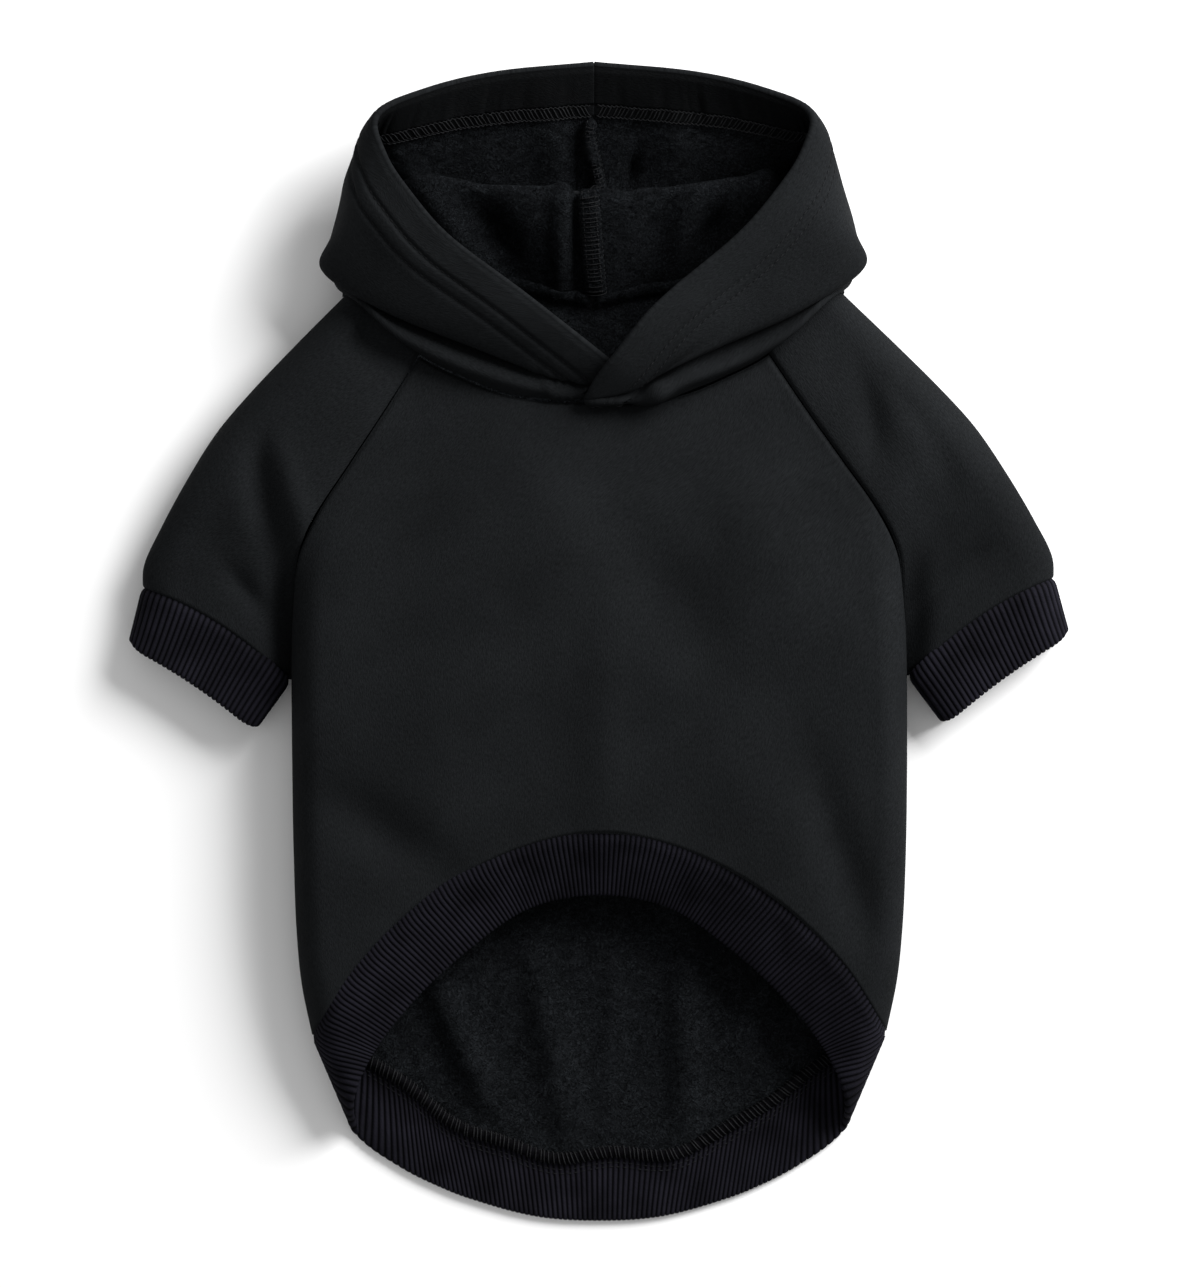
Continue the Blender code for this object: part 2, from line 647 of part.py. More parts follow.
def main():
    for item in list(bpy.data.objects):
        bpy.data.objects.remove(item, do_unlink=True)
    garment = bpy.data.collections.new("dog_hoodie")
    bpy.context.scene.collection.children.link(garment)
    shell = (0.012, 0.013, 0.016, 1.0)
    rib = (0.014, 0.013, 0.019, 1.0)
    belly = body_panel(False)
    back = body_panel(True)
    left_sleeve = sleeve()
    left_cuff = cuff(left_sleeve)
    band = hem_band(belly, back)
    parts = neck_loop(belly, back, left_sleeve)
    left_hood = hood_half(parts, "left")
    right_hood = hood_half(parts, "right")
    items = [
        cloth("belly_panel", lean(belly), CLOTH, shell, 0.85, garment),
        cloth("back_panel", lean(back), CLOTH, shell, 0.9, garment),
        cloth("hem_band", lean(band), RIB_CLOTH, rib, 0.85, garment, closed=True),
        cloth("sleeve_left", lean(left_sleeve), CLOTH, shell, 0.85, garment),
        cloth("sleeve_right", lean(mirrored(left_sleeve)), CLOTH, shell, 0.85, garment),
        cloth("cuff_left", lean(left_cuff), RIB_CLOTH, rib, 0.85, garment, closed=True),
        cloth("cuff_right", lean(mirrored(left_cuff)), RIB_CLOTH, rib, 0.85, garment, closed=True),
        cloth("hood_left", lean(left_hood), CLOTH, shell, 0.85, garment, hem=hem_weights(left_hood)),
        cloth("hood_right", lean(mirrored(right_hood)), CLOTH, shell, 0.85, garment,
              hem=hem_weights(right_hood)[:, ::-1]),
    ]
    bpy.context.view_layer.update()
    settle(items)


main()
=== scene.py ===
"""Dog hoodie lying flat on a pale floor, seen from straight above.

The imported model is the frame. Each cloth piece repeats the shape of its CAD node from the same
sizes and tables, on a finer grid, and adds the thickness, seams, folds, ribs and stitches.
"""

from collections import namedtuple

import bpy
import numpy as np
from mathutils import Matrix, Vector


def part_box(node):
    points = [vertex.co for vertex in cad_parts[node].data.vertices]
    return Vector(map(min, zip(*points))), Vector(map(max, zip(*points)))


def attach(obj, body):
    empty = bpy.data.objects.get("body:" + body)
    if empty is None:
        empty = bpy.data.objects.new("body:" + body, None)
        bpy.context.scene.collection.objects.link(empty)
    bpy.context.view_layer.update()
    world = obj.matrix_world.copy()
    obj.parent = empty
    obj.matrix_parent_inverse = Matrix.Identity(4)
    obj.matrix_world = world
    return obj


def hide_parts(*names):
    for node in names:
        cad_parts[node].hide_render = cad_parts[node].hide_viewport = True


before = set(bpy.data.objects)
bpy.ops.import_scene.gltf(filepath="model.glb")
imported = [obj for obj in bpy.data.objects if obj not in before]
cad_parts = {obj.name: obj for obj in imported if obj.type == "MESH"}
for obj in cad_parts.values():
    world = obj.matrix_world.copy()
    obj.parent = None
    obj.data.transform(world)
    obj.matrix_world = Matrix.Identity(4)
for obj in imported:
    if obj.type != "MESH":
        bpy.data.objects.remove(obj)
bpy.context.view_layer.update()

bl_info = {
    "name": "Dog Hoodie",
    "version": (1, 0, 0),
    "blender": (4, 5, 0),
    "location": "3D View > Sidebar > Dog Hoodie",
    "description": "Builds a fleece-lined dog hoodie lying flat and the studio around it",
    "category": "Add Mesh",
}

# Driving sizes in metres
CHEST_WIDTH = 0.256
BODY_LENGTH = 0.388
BODY_LOFT = 0.034
SIDE_FOLD_RADIUS = 0.014
FOLD_SHARE = 0.3
NECK_WIDTH = 0.209
NECK_DROP = 0.0445
SLEEVE_SPAN = 0.380
SLEEVE_DROP = 0.121
SLEEVE_LOFT = 0.024
CUFF_DEPTH = 0.0230
CUFF_LOFT = 0.0165
HEM_LOFT = 0.023
HOOD_WIDTH = 0.229
HOOD_LENGTH = 0.097
HOOD_LOFT = 0.050
HOOD_LAP = 0.0134
CLOTH = 0.0024
RIB_CLOTH = 0.0028
HOOD_HEM = 0.0175

# Clearances between pieces in metres
SEAM_GAP = 0.0005
RAGLAN_GAP = 0.0008
FOLD_GAP = 0.0007
NECK_GAP = 0.0015
RIB_GAP = 0.0011

# Mesh steps
FOLD_STEPS = 12
BODY_FLAT_STEPS = 120
SLEEVE_FLAT_STEPS = 52
RAGLAN_STEPS = 78
SIDE_STEPS = 68
CUFF_STEPS = 18
BAND_STEPS = 14
STATION_STEPS = 20
CUFF_RIB_STEPS = 8
HEM_RIB_STEPS = 6
STRIP_SIDES = 16
THREAD_SIDES = 6
FIBRE_SIDES = 4
PATH_STEPS = (12, 12, 18, 31, 76)

# Stage in metres
CAMERA_CENTRE = (0.0005, -0.0006)
CAMERA_FOCUS_HEIGHT = 0.018
FLOOR_SIZE = 12.0
FLOOR_CLEARANCE = 0.0002
KEY_PLACE = (1.22, 1.08, 0.95)
KEY_WIDTH = 1.1

# Seams, hems and the brushed side in metres
SEAM_WIDTH = 0.0009
RIB_LEAN_FADE = 0.045
RIB_CALM = 0.0012
CLUMP_HEIGHT = 0.00022
CLUMP_SIZE = 0.011
OVERLOCK_WIDTH = 0.0050
OVERLOCK_SLANT = 0.0034
PUCKER = 0.0004
PUCKER_REACH = 0.008
RIM_ROUND = 0.0030
RIM_SWELL = 0.0005
RIM_SWELL_ENDS = (0.010, 0.022)
HEM_LAYER = 0.0013
SERGED_LAYER = 0.0009
HEM_STEP = (0.0008, 0.0006)
THROAT_GROOVE = (0.0006, 0.0010)
HOOD_SIDE_STATIONS = (2.7, 3.5)
STITCH_ROWS = {"left": (0.0127, 0.0195), "right": (0.0145, 0.0187)}
HEM_GROOVE = {"left": 0.0011, "right": 0.0004}
HEM_GROOVE_WIDTH = 0.0011
NECK_STRIP_SHARE = 0.34
CENTRE_STRIP_END = 0.72
TWIN_STITCH = (0.0042, 0.0060)
HEM_WAVE = 0.0016
HEM_WAVE_START = -0.0176
HEM_WAVE_LENGTH = 0.0476
UNDERARM_REACH = 0.005
UNDERARM_TUCK = 0.0034
UNDERARM_DROP_REACH = 0.010
UNDERARM_DROP = 0.0075
CREASE_PLACE = 2.0
CREASE_WIDTH = 0.40
CREASE_DROP = 0.0030
CREASE_TUCK = 0.0028
OVERLOCK_PITCH = 0.0019
CHAIN_SWAY = 0.0003
THIN_THREAD = 0.8
FINE_FUZZ_RADIUS = 0.00009
FUZZ_DENSITY = 16000

# First rows pushed on under the next piece: depth and reach
RIB_TUCK = (0.0018, 0.002)
NECK_TUCK = (0.0030, 0.004)
SHOULDER_TUCK = (0.0050, 0.006)

# Stitches: pitch, length, height of the arch and thread radius
HOOD_STITCH = (0.0030, 0.0023, 0.00025, 0.00020)
HEM_STITCH = (0.0030, 0.0022, 0.00030, 0.00018)
CENTRE_STITCH = (0.0024, 0.0014)

# Overlock loops of the back hem (pitch, width, height and slant) and of the hood's centre seam
HEM_LOOPS = (0.0020, 0.0052, 0.0027, 0.0022)
CENTRE_PITCH = 0.0021
CENTRE_SLANT = 0.0010
CENTRE_FUZZ_LENGTH = 0.0013

# Seam strips (width, height, unevenness and seed) and the loose fibres on them (count, width and
# height of the strip, length, radius and seed)
NECK_STRIP = (0.0050, 0.0026, 0.25, 4)
NECK_FUZZ = (1300, 0.0050, 0.0024, 0.0020, 0.00010, 5)
HEM_STRIP = (0.0040, 0.0026, 0.12, 11)
HEM_FUZZ = (1500, 0.0040, 0.0024, 0.0014, FINE_FUZZ_RADIUS, 12)

Edge = namedtuple("Edge", "out along")
Raglan = namedtuple("Raglan", "out belly_along back_along height")
Side = namedtuple("Side", "out along height")
Height = namedtuple("Height", "along height")
Bulge = namedtuple("Bulge", "along out")
Station = namedtuple("Station", "seam lap roll crease fold band rim")
Fold = namedtuple("Fold", "x y turn length width height")


def rows_of(kind, *rows):
    """A table of rows of the given kind."""
    return tuple(kind(*row) for row in rows)



# Half neckline from the shoulder corner to the centre, in shares of half NECK_WIDTH and of
# NECK_DROP
FRONT_NECK = rows_of(
    Edge, (1.00, 0.00), (0.94, 0.05), (0.83, 0.29), (0.70, 0.56), (0.52, 0.78), (0.36, 0.93),
    (0.18, 1.00), (0.00, 1.00))
BACK_NECK = rows_of(
    Edge, (1.00, 0.00), (0.70, -0.07), (0.45, -0.08), (0.22, -0.02), (0.00, 0.12))
RAGLAN_NECK_SHARE = 0.70

# Raglan seam below the neckline: out in CHEST_WIDTH, along in BODY_LENGTH, height in BODY_LOFT
RAGLAN = rows_of(
    Raglan, (0.344, 0.124, 0.085, 0.82), (0.403, 0.181, 0.155, 0.86), (0.460, 0.237, 0.225, 0.85),
    (0.490, 0.282, 0.278, 0.80), (0.497, 0.330, 0.330, 0.66), (0.500, 0.380, 0.380, 0.50),
    (0.501, 0.426, 0.426, 0.40))
RAGLAN_TOP_HEIGHT = 0.72
SEAM_GROOVE = 0.0014

# Side fold from the armpit to the hem, in the same shares
SIDE = rows_of(
    Side, (0.501, 0.426, 0.40), (0.500, 0.520, 0.47), (0.498, 0.600, 0.47), (0.493, 0.685, 0.44),
    (0.485, 0.740, 0.40), (0.468, 0.796, 0.35))
BODY_CROWN = rows_of(
    Height, (0.00, 0.72), (0.25, 0.90), (0.50, 0.97), (0.75, 0.90), (1.00, 0.76))
BODY_DOME = 0.12

# Half hem curves from the side fold to the centre, in shares of CHEST_WIDTH and of BODY_LENGTH
BELLY_HEM = rows_of(
    Edge, (0.468, 0.796), (0.402, 0.726), (0.296, 0.656), (0.166, 0.605), (0.044, 0.581),
    (0.000, 0.579))
BACK_HEM = rows_of(
    Edge, (0.468, 0.796), (0.424, 0.810), (0.362, 0.833), (0.287, 0.867), (0.220, 0.900),
    (0.156, 0.919), (0.075, 0.929), (0.000, 0.930))
BELLY_EDGE = rows_of(
    Edge, (0.410, 0.887), (0.406, 0.862), (0.379, 0.819), (0.307, 0.757), (0.217, 0.702),
    (0.122, 0.659), (0.044, 0.645), (0.000, 0.643))
BACK_EDGE = rows_of(
    Edge, (0.410, 0.887), (0.403, 0.902), (0.328, 0.941), (0.246, 0.968), (0.213, 0.976),
    (0.123, 0.993), (0.074, 0.998), (0.000, 1.000))
BELLY_EDGE_HEIGHT = 0.84
BAND_SIDE_HEIGHT = 0.42

# Shoulder fold beside the chord from neck corner to cuff, in shares of that chord
SHOULDER = rows_of(
    Bulge, (0.00, 0.000), (0.20, 0.036), (0.39, 0.066), (0.52, 0.079), (0.66, 0.075), (0.84, 0.058),
    (0.95, 0.038), (1.00, 0.006))
# Sleeve heights from the neck to the cuff, in shares of SLEEVE_LOFT
SLEEVE_FOLD_HEIGHT = rows_of(
    Height, (0.0, 0.52), (0.5, 0.58), (1.0, 0.42))
SLEEVE_CROWN = rows_of(
    Height, (0.0, 1.02), (0.5, 1.10), (1.0, 0.80))
CUFF_SEAM_BOW = 0.06
CUFF_INNER_OUT = 0.513
CUFF_INNER_ALONG = 0.412
CUFF_LEAN_OUT = 0.27
CUFF_LEAN_IN = 0.74
CUFF_STRAIGHTENS = 0.45
CUFF_ROUND = 0.008
CUFF_CORNER = 0.0022

# Hood paths from the neck seam to the rim, one row per station from the back centre to the throat:
# seam is 0 at the back centre, 1 at the neck corner and 2 at the throat end, lap is the share of
# HOOD_LAP by which the left half reaches on, and the points of roll, crease, fold, band and rim are
# (out, along, height) in shares of half HOOD_WIDTH, HOOD_LENGTH and HOOD_LOFT
HOOD = rows_of(
    Station,
    (0.00, 0.0, (0.00, 0.20, 0.30), (0.00, 0.45, 0.50),
     (0.00, 0.39, 0.10), (0.00, 0.70, 0.29), (0.00, 1.000, 0.58)),
    (0.42, 0.0, (0.35, 0.24, 0.30), (0.36, 0.47, 0.50),
     (0.37, 0.42, 0.10), (0.39, 0.68, 0.32), (0.36, 0.957, 0.63)),
    (0.76, 0.0, (0.60, 0.27, 0.26), (0.60, 0.50, 0.42),
     (0.63, 0.46, 0.12), (0.67, 0.66, 0.40), (0.62, 0.880, 0.72)),
    (1.00, 0.0, (0.90, 0.15, 0.10), (0.89, 0.36, 0.07),
     (0.85, 0.57, 0.26), (0.83, 0.71, 0.62), (0.79, 0.775, 0.86)),
    (1.06, 0.0, (0.94, 0.07, 0.26), (0.955, 0.16, 0.20),
     (0.96, 0.24, 0.36), (0.88, 0.42, 0.76), (0.76, 0.600, 0.93)),
    (1.14, 0.0, (0.85, -0.02, 0.62), (0.89, 0.04, 0.48),
     (0.975, 0.13, 0.60), (0.82, 0.28, 0.88), (0.66, 0.420, 0.98)),
    (1.32, 0.0, (0.69, -0.18, 0.68), (0.68, -0.09, 0.52),
     (0.76, -0.04, 0.72), (0.63, 0.12, 0.92), (0.52, 0.235, 1.00)),
    (1.56, 0.2, (0.43, -0.33, 0.68), (0.42, -0.24, 0.56),
     (0.48, -0.19, 0.74), (0.38, -0.08, 0.91), (0.28, 0.000, 0.98)),
    (1.80, 0.6, (0.17, -0.42, 0.64), (0.18, -0.37, 0.62),
     (0.21, -0.335, 0.70), (0.15, -0.28, 0.80), (0.09, -0.220, 0.88)),
    (2.00, 1.0, (-0.03, -0.422, 0.60), (-0.028, -0.412, 0.62),
     (-0.026, -0.400, 0.64), (-0.022, -0.385, 0.66), (-0.018, -0.365, 0.68)))
THROAT_OUT = 0.03
LAP_LIFT = 0.0064
LAP_STEP = 0.0034

# How much the right sleeve lies nearer the hood than the left, in metres at a metre from the middle
SLEEVE_TILT = 0.055

# Sideways lean of the garment as it lies: along in BODY_LENGTH, shift in metres
LEAN = rows_of(
    Height, (-0.25, -0.0018), (0.00, -0.0020), (0.30, 0.0000), (0.58, 0.0007), (0.75, 0.0005),
    (1.00, 0.0004))

# Width, height and unevenness of the centre seam strips, and how far out each part of them lies
STRIP_SIZES = {
    "centre_seam_upper": (0.0052, 0.0046, 0.22),
    "centre_seam_lower": (0.0090, 0.0024, 0.06),
}
UPPER_STRIP = rows_of(
    Bulge, (0.00, -0.0020), (0.20, 0.0012), (0.40, 0.0004), (0.70, -0.0038), (1.00, -0.0028))
LOWER_STRIP = rows_of(
    Bulge, (0.00, -0.0010), (0.50, -0.0030), (1.00, -0.0046))

# Soft folds as ridges (height above 0) and dents (below 0): place and size in metres from the
# middle of the garment, and the turn in degrees from the X axis
BELLY_FOLDS = rows_of(
    Fold, (0.002, -0.040, 90, 0.055, 0.010, 0.0020), (-0.017, 0.057, 80, 0.038, 0.018, 0.0023),
    (-0.074, 0.055, 80, 0.045, 0.020, -0.0026), (0.070, 0.044, -53, 0.052, 0.018, 0.0026),
    (0.030, 0.018, -53, 0.052, 0.017, -0.0032), (-0.060, -0.020, 75, 0.050, 0.026, 0.0030),
    (-0.090, -0.079, -35, 0.034, 0.012, -0.0042), (-0.112, -0.060, 85, 0.050, 0.014, 0.0016),
    (0.101, -0.088, -72, 0.045, 0.010, -0.0040), (0.070, -0.075, -75, 0.045, 0.018, 0.0018),
    (-0.060, -0.150, 40, 0.040, 0.010, 0.0014), (0.085, -0.140, -48, 0.040, 0.009, 0.0012))
BACK_FOLDS = rows_of(
    Fold, (-0.0584, -0.167, -66, 0.034, 0.0065, 0.0070),
    (-0.0200, -0.167, -80, 0.045, 0.0085, 0.0064), (0.0060, -0.160, 88, 0.040, 0.0060, 0.0025),
    (0.0370, -0.167, 90, 0.042, 0.0080, 0.0070), (0.0680, -0.150, 70, 0.030, 0.0060, 0.0034))
SLEEVE_FOLDS = rows_of(
    Fold, (-0.1380, 0.055, -76, 0.036, 0.0075, -0.0068),
    (-0.1275, 0.058, -73, 0.026, 0.0060, 0.0024), (-0.1470, 0.021, -50, 0.014, 0.0050, -0.0030),
    (-0.1500, 0.085, -62, 0.030, 0.0090, 0.0010), (-0.1010, 0.127, -36, 0.018, 0.0085, -0.0034),
    (0.1140, 0.092, -84, 0.020, 0.0062, -0.0028), (0.1370, 0.048, 68, 0.034, 0.0110, -0.0034),
    (0.1280, 0.090, -62, 0.030, 0.0070, 0.0012), (0.1440, 0.024, 52, 0.020, 0.0040, -0.0022),
    (0.1600, 0.036, 44, 0.014, 0.0040, -0.0016))
HOOD_BACK_FOLDS = rows_of(
    Fold, (-0.0440, 0.169, -58, 0.015, 0.0090, -0.0080),
    (-0.0620, 0.176, -51, 0.028, 0.0060, 0.0045), (-0.0160, 0.171, 90, 0.024, 0.0036, 0.0039),
    (-0.0098, 0.171, 90, 0.026, 0.0018, -0.0039), (0.0270, 0.168, 90, 0.020, 0.0100, -0.0033),
    (0.0330, 0.166, 62, 0.018, 0.0060, 0.0039), (0.0460, 0.170, 60, 0.013, 0.0065, -0.0075),
    (0.0690, 0.190, 70, 0.009, 0.0050, 0.0051), (0.0140, 0.199, 80, 0.010, 0.0030, -0.0045),
    (-0.0200, 0.210, 85, 0.012, 0.0060, 0.0030), (0.0315, 0.212, 80, 0.013, 0.0080, 0.0030),
    (-0.0075, 0.207, 85, 0.010, 0.0026, -0.0024))
HOOD_FRONT_FOLDS = rows_of(
    Fold, (-0.0205, 0.1065, -48, 0.010, 0.0013, 0.0016),
    (-0.0160, 0.1058, -58, 0.009, 0.0010, 0.0014), (-0.0125, 0.1052, -66, 0.008, 0.0009, 0.0012),
    (-0.0900, 0.1750, -52, 0.034, 0.0060, 0.0012), (0.0250, 0.1100, 38, 0.022, 0.0024, -0.0022),
    (0.0240, 0.1045, 20, 0.006, 0.0026, 0.0030), (0.0900, 0.1600, 52, 0.034, 0.0080, 0.0010))


def spline(places, values, at):
    """Smooth curve through the values: a cubic with the slopes of the neighbouring chords."""
    places = np.asarray(places, float)
    values = np.asarray(values, float)
    at = np.atleast_1d(np.asarray(at, float))
    steps = np.diff(places)
    rises = np.diff(values, axis=0)
    chords = rises / steps.reshape((-1,) + (1,) * (values.ndim - 1))
    slopes = np.empty_like(values)
    slopes[0] = chords[0]
    slopes[-1] = chords[-1]
    slopes[1:-1] = (chords[:-1] + chords[1:]) / 2
    index = np.clip(np.searchsorted(places, at, side="right") - 1, 0, len(places) - 2)
    shape = (-1,) + (1,) * (values.ndim - 1)
    step = steps[index].reshape(shape)
    part = ((at - places[index]) / steps[index]).reshape(shape)
    start = (1 + 2 * part) * (1 - part) ** 2 * values[index]
    end = part ** 2 * (3 - 2 * part) * values[index + 1]
    bend = part * (1 - part) ** 2 * slopes[index] - part ** 2 * (1 - part) * slopes[index + 1]
    return start + end + step * bend


def curve(table, at):
    """Smooth curve through a table of two columns."""
    return spline(*np.transpose(table), at)


def column(table, name):
    """One named column of a table as an array."""
    return np.array([getattr(row, name) for row in table])


def ramp(value, low, high):
    """Smooth step from 0 at low to 1 at high."""
    part = np.clip((value - low) / (high - low), 0, 1)
    return part * part * (3 - 2 * part)


def rise(distance, radius, roundness):
    """Height share beside an edge: a quarter circle where round, a soft parabola where not."""
    back = 1 - np.clip(distance / radius, 0, 1)
    return roundness * np.sqrt(1 - back ** 2) + (1 - roundness) * (1 - back ** 2)


def across_steps(width, radius, fold_steps, flat_steps):
    """Distances from one edge to the other, close together where both edges turn over."""
    angles = np.linspace(0, np.pi / 2, fold_steps + 1)
    fold = radius * (1 - np.cos(angles))
    flat = np.linspace(radius, width - radius, flat_steps + 1)[1:-1]
    return np.concatenate([fold, flat, (width - fold)[::-1]])


def along_curve(points, share):
    """Points at the given shares of the length of a polyline."""
    points = np.asarray(points, float)
    lengths = np.concatenate([[0], np.cumsum(np.linalg.norm(np.diff(points, axis=0), axis=1))])
    lengths = lengths / lengths[-1]
    return spline(lengths, points, share)


def lean(points):
    """Shifts points sideways by the lean, and along the garment where the sleeves lie askew."""
    moved = points.copy()
    place = -points[..., 1].ravel() / BODY_LENGTH
    place = np.clip(place, LEAN[0].along, LEAN[-1].along)
    shift = curve(LEAN, place)
    moved[..., 0] += shift.reshape(points.shape[:-1])
    moved[..., 1] += SLEEVE_TILT * points[..., 0] * np.abs(points[..., 0])
    return moved


def neck_line(table, out):
    """Neckline point at a share of the half width, on the side that its sign gives."""
    out = np.atleast_1d(out)
    drop = curve(table[::-1], np.abs(out))
    return np.stack([out * NECK_WIDTH / 2, -drop * NECK_DROP], axis=-1)


def body_plan(table, along="along"):
    """Plan points of a table with shares of CHEST_WIDTH and of BODY_LENGTH, on the left."""
    out = -column(table, "out") * CHEST_WIDTH
    return np.stack([out, -column(table, along) * BODY_LENGTH], axis=-1)


def hem_line(table, side):
    """Hem curve from one side fold to the other, at shares 0 to 1 of its width."""
    half = body_plan(table)
    mirrored = half[::-1][1:] * (-1, 1)
    return along_curve(np.concatenate([half, mirrored]), side)


def body_edge(share, back):
    """Plan and height of the left body edge: raglan seam to share 0.5, then the side fold."""
    neck = neck_line(BACK_NECK if back else FRONT_NECK, -RAGLAN_NECK_SHARE)[0]
    seam_plan = body_plan(RAGLAN, "back_along" if back else "belly_along")
    seam_plan = np.concatenate([[neck], seam_plan])
    heights = np.concatenate([[RAGLAN_TOP_HEIGHT], column(RAGLAN, "height")]) * BODY_LOFT
    seam = along_curve(np.column_stack([seam_plan, heights]), np.clip(share * 2, 0, 1))
    side_points = np.column_stack([body_plan(SIDE), column(SIDE, "height") * BODY_LOFT])
    side = along_curve(side_points, np.clip(share * 2 - 1, 0, 1))
    edge = np.where((share <= 0.5)[:, None], seam, side)
    if back:
        lift = ramp(share, 0.28, 0.5)
        edge[:, 2] = CLOTH / 2 + (edge[:, 2] - CLOTH / 2) * lift
    return edge


def body_rows():
    """Row shares of both body panels, raglan then side, closest at the neck and the hem."""
    seam = 0.5 - 0.5 * np.cos(np.linspace(0, np.pi / 2, RAGLAN_STEPS + 1))
    side = 0.5 + 0.5 * np.sin(np.linspace(0, np.pi / 2, SIDE_STEPS + 1))[1:]
    return np.concatenate([seam, side])


def body_panel(back):
    """Grid of a body panel: rows from neck to hem, columns from the left edge to the right."""
    shares = body_rows()
    left = body_edge(shares, back)
    right = left * (-1, 1, 1)
    hem_table = BACK_HEM if back else BELLY_HEM
    neck_table = BACK_NECK if back else FRONT_NECK
    crown = curve(BODY_CROWN, shares) * BODY_LOFT
    rows = []
    for share, edge, other, top in zip(shares, left, right, crown):
        width = other[0] - edge[0]
        radius = min(SIDE_FOLD_RADIUS, width * FOLD_SHARE)
        distance = across_steps(width, radius, FOLD_STEPS, BODY_FLAT_STEPS)
        part = distance / width
        neck = neck_line(neck_table, (2 * part - 1) * RAGLAN_NECK_SHARE)
        hem = hem_line(hem_table, part)
        sides = (1 - part)[:, None] * edge[:2] + part[:, None] * other[:2]
        corners = blend_corners(part, share, neck, hem)
        plan = (1 - share) * neck + share * hem + sides - corners
        roundness = ramp(share, 0.30, 0.47)
        near = np.minimum(distance, width - distance)
        if back:
            level = CLOTH / 2
            height = edge[2] + (level - edge[2]) * rise(near, radius, 1.0)
            seam_side = -FOLD_GAP / 2
        else:
            level = top + BODY_DOME * BODY_LOFT * (1 - (2 * part - 1) ** 2)
            height = edge[2] + (level - edge[2]) * rise(near, radius, roundness)
            seam_side = FOLD_GAP / 2
        height = height + seam_side * ramp(share, 0.40, 0.50) * (1 - rise(near, radius, 1.0))
        rows.append(np.column_stack([plan, height]))
    return np.array(rows)


def blend_corners(part, share, neck, hem):
    """Bilinear surface through the corners of a panel, for the patch between four curves."""
    part = part[:, None]
    top = (1 - part) * neck[0] + part * neck[-1]
    bottom = (1 - part) * hem[0] + part * hem[-1]
    return (1 - share) * top + share * bottom


def sleeve_corners():
    """Plan points of the left sleeve: neck corner, cuff seam outer end and inner end."""
    neck = np.array([-NECK_WIDTH / 2, 0.0])
    outer = np.array([-SLEEVE_SPAN / 2, -SLEEVE_DROP])
    inner = np.array([-CUFF_INNER_OUT * CHEST_WIDTH, -CUFF_INNER_ALONG * BODY_LENGTH])
    return neck, outer, inner


def turned(vector):
    """Plan vector turned a quarter to its left."""
    return np.stack([-vector[..., 1], vector[..., 0]], axis=-1)


def shoulder_fold(share):
    """Plan points of the shoulder fold, bulging beside its chord."""
    neck, outer = sleeve_corners()[:2]
    chord = outer - neck
    bulge = column(SHOULDER, "out")[:, None] * turned(chord)
    rows = column(SHOULDER, "along")[:, None] * chord - bulge
    return along_curve(neck + rows, share)


def cuff_seam(share):
    """Plan points of the cuff seam from its outer end to its inner end, bowed towards the neck."""
    outer, inner = sleeve_corners()[1:]
    chord = inner - outer
    bow = 4 * CUFF_SEAM_BOW * share * (1 - share)
    return outer + share[:, None] * chord + bow[:, None] * turned(chord)


def sleeve_layer(back):
    """Grid of one sleeve layer: rows from neck to cuff, columns from shoulder fold to raglan."""
    shares = 0.5 - 0.5 * np.cos(np.linspace(0, np.pi, RAGLAN_STEPS + 1))
    seam = body_edge(shares / 2, back)
    direction = np.gradient(seam[:, :2], axis=0)
    direction /= np.linalg.norm(direction, axis=1)[:, None]
    closing = ramp(shares, 0.45, 0.85)
    gap = RAGLAN_GAP + (CLOTH + FOLD_GAP - SEAM_GAP) * closing
    seam[:, :2] += gap[:, None] * turned(direction) * -1
    inner = sleeve_corners()[2]
    seam[:, :2] += (inner - seam[-1, :2]) * (shares ** 6)[:, None]
    fold = shoulder_fold(shares)
    fold_height = curve(SLEEVE_FOLD_HEIGHT, shares)
    crown = curve(SLEEVE_CROWN, shares)
    end_height = SLEEVE_LOFT * SLEEVE_CROWN[-1].height
    rows = []
    for index, share in enumerate(shares):
        width = np.linalg.norm(seam[index, :2] - fold[index])
        radius = min(SIDE_FOLD_RADIUS, width * FOLD_SHARE)
        distance = across_steps(width, radius, FOLD_STEPS, SLEEVE_FLAT_STEPS)
        part = distance / width
        neck_out = -1 + part * (1 - RAGLAN_NECK_SHARE)
        neck = neck_line(BACK_NECK if back else FRONT_NECK, neck_out)
        cuff = cuff_seam(part)
        sides = (1 - part)[:, None] * fold[index] + part[:, None] * seam[index, :2]
        neck_patch = neck + part[:, None] * (seam[0, :2] - neck[-1])
        plan = (1 - share) * neck_patch + share * cuff + sides
        plan = plan - blend_corners(part, share, neck_patch, cuff)
        fold_level = fold_height[index] * SLEEVE_LOFT
        seam_level = seam[index, 2]
        if back:
            level = np.full(len(part), CLOTH / 2)
            seam_level -= FOLD_GAP / 2 * closing[index]
        else:
            inside = seam[index, 2] + SEAM_GROOVE
            inside = inside + (end_height - inside) * ramp(share, 0.55, 1.0)
            level = crown[index] * SLEEVE_LOFT * (1 - part) + inside * part
            seam_level += FOLD_GAP / 2 * closing[index]
        outer_share = rise(distance, radius, 1.0)
        inner_share = rise(width - distance, radius, 1.0 if back else ramp(share, 0.6, 0.95))
        height = fold_level + (level - fold_level) * outer_share
        height = np.where(part > 0.5, seam_level + (level - seam_level) * inner_share, height)
        rows.append(np.column_stack([plan, height]))
    return np.array(rows)


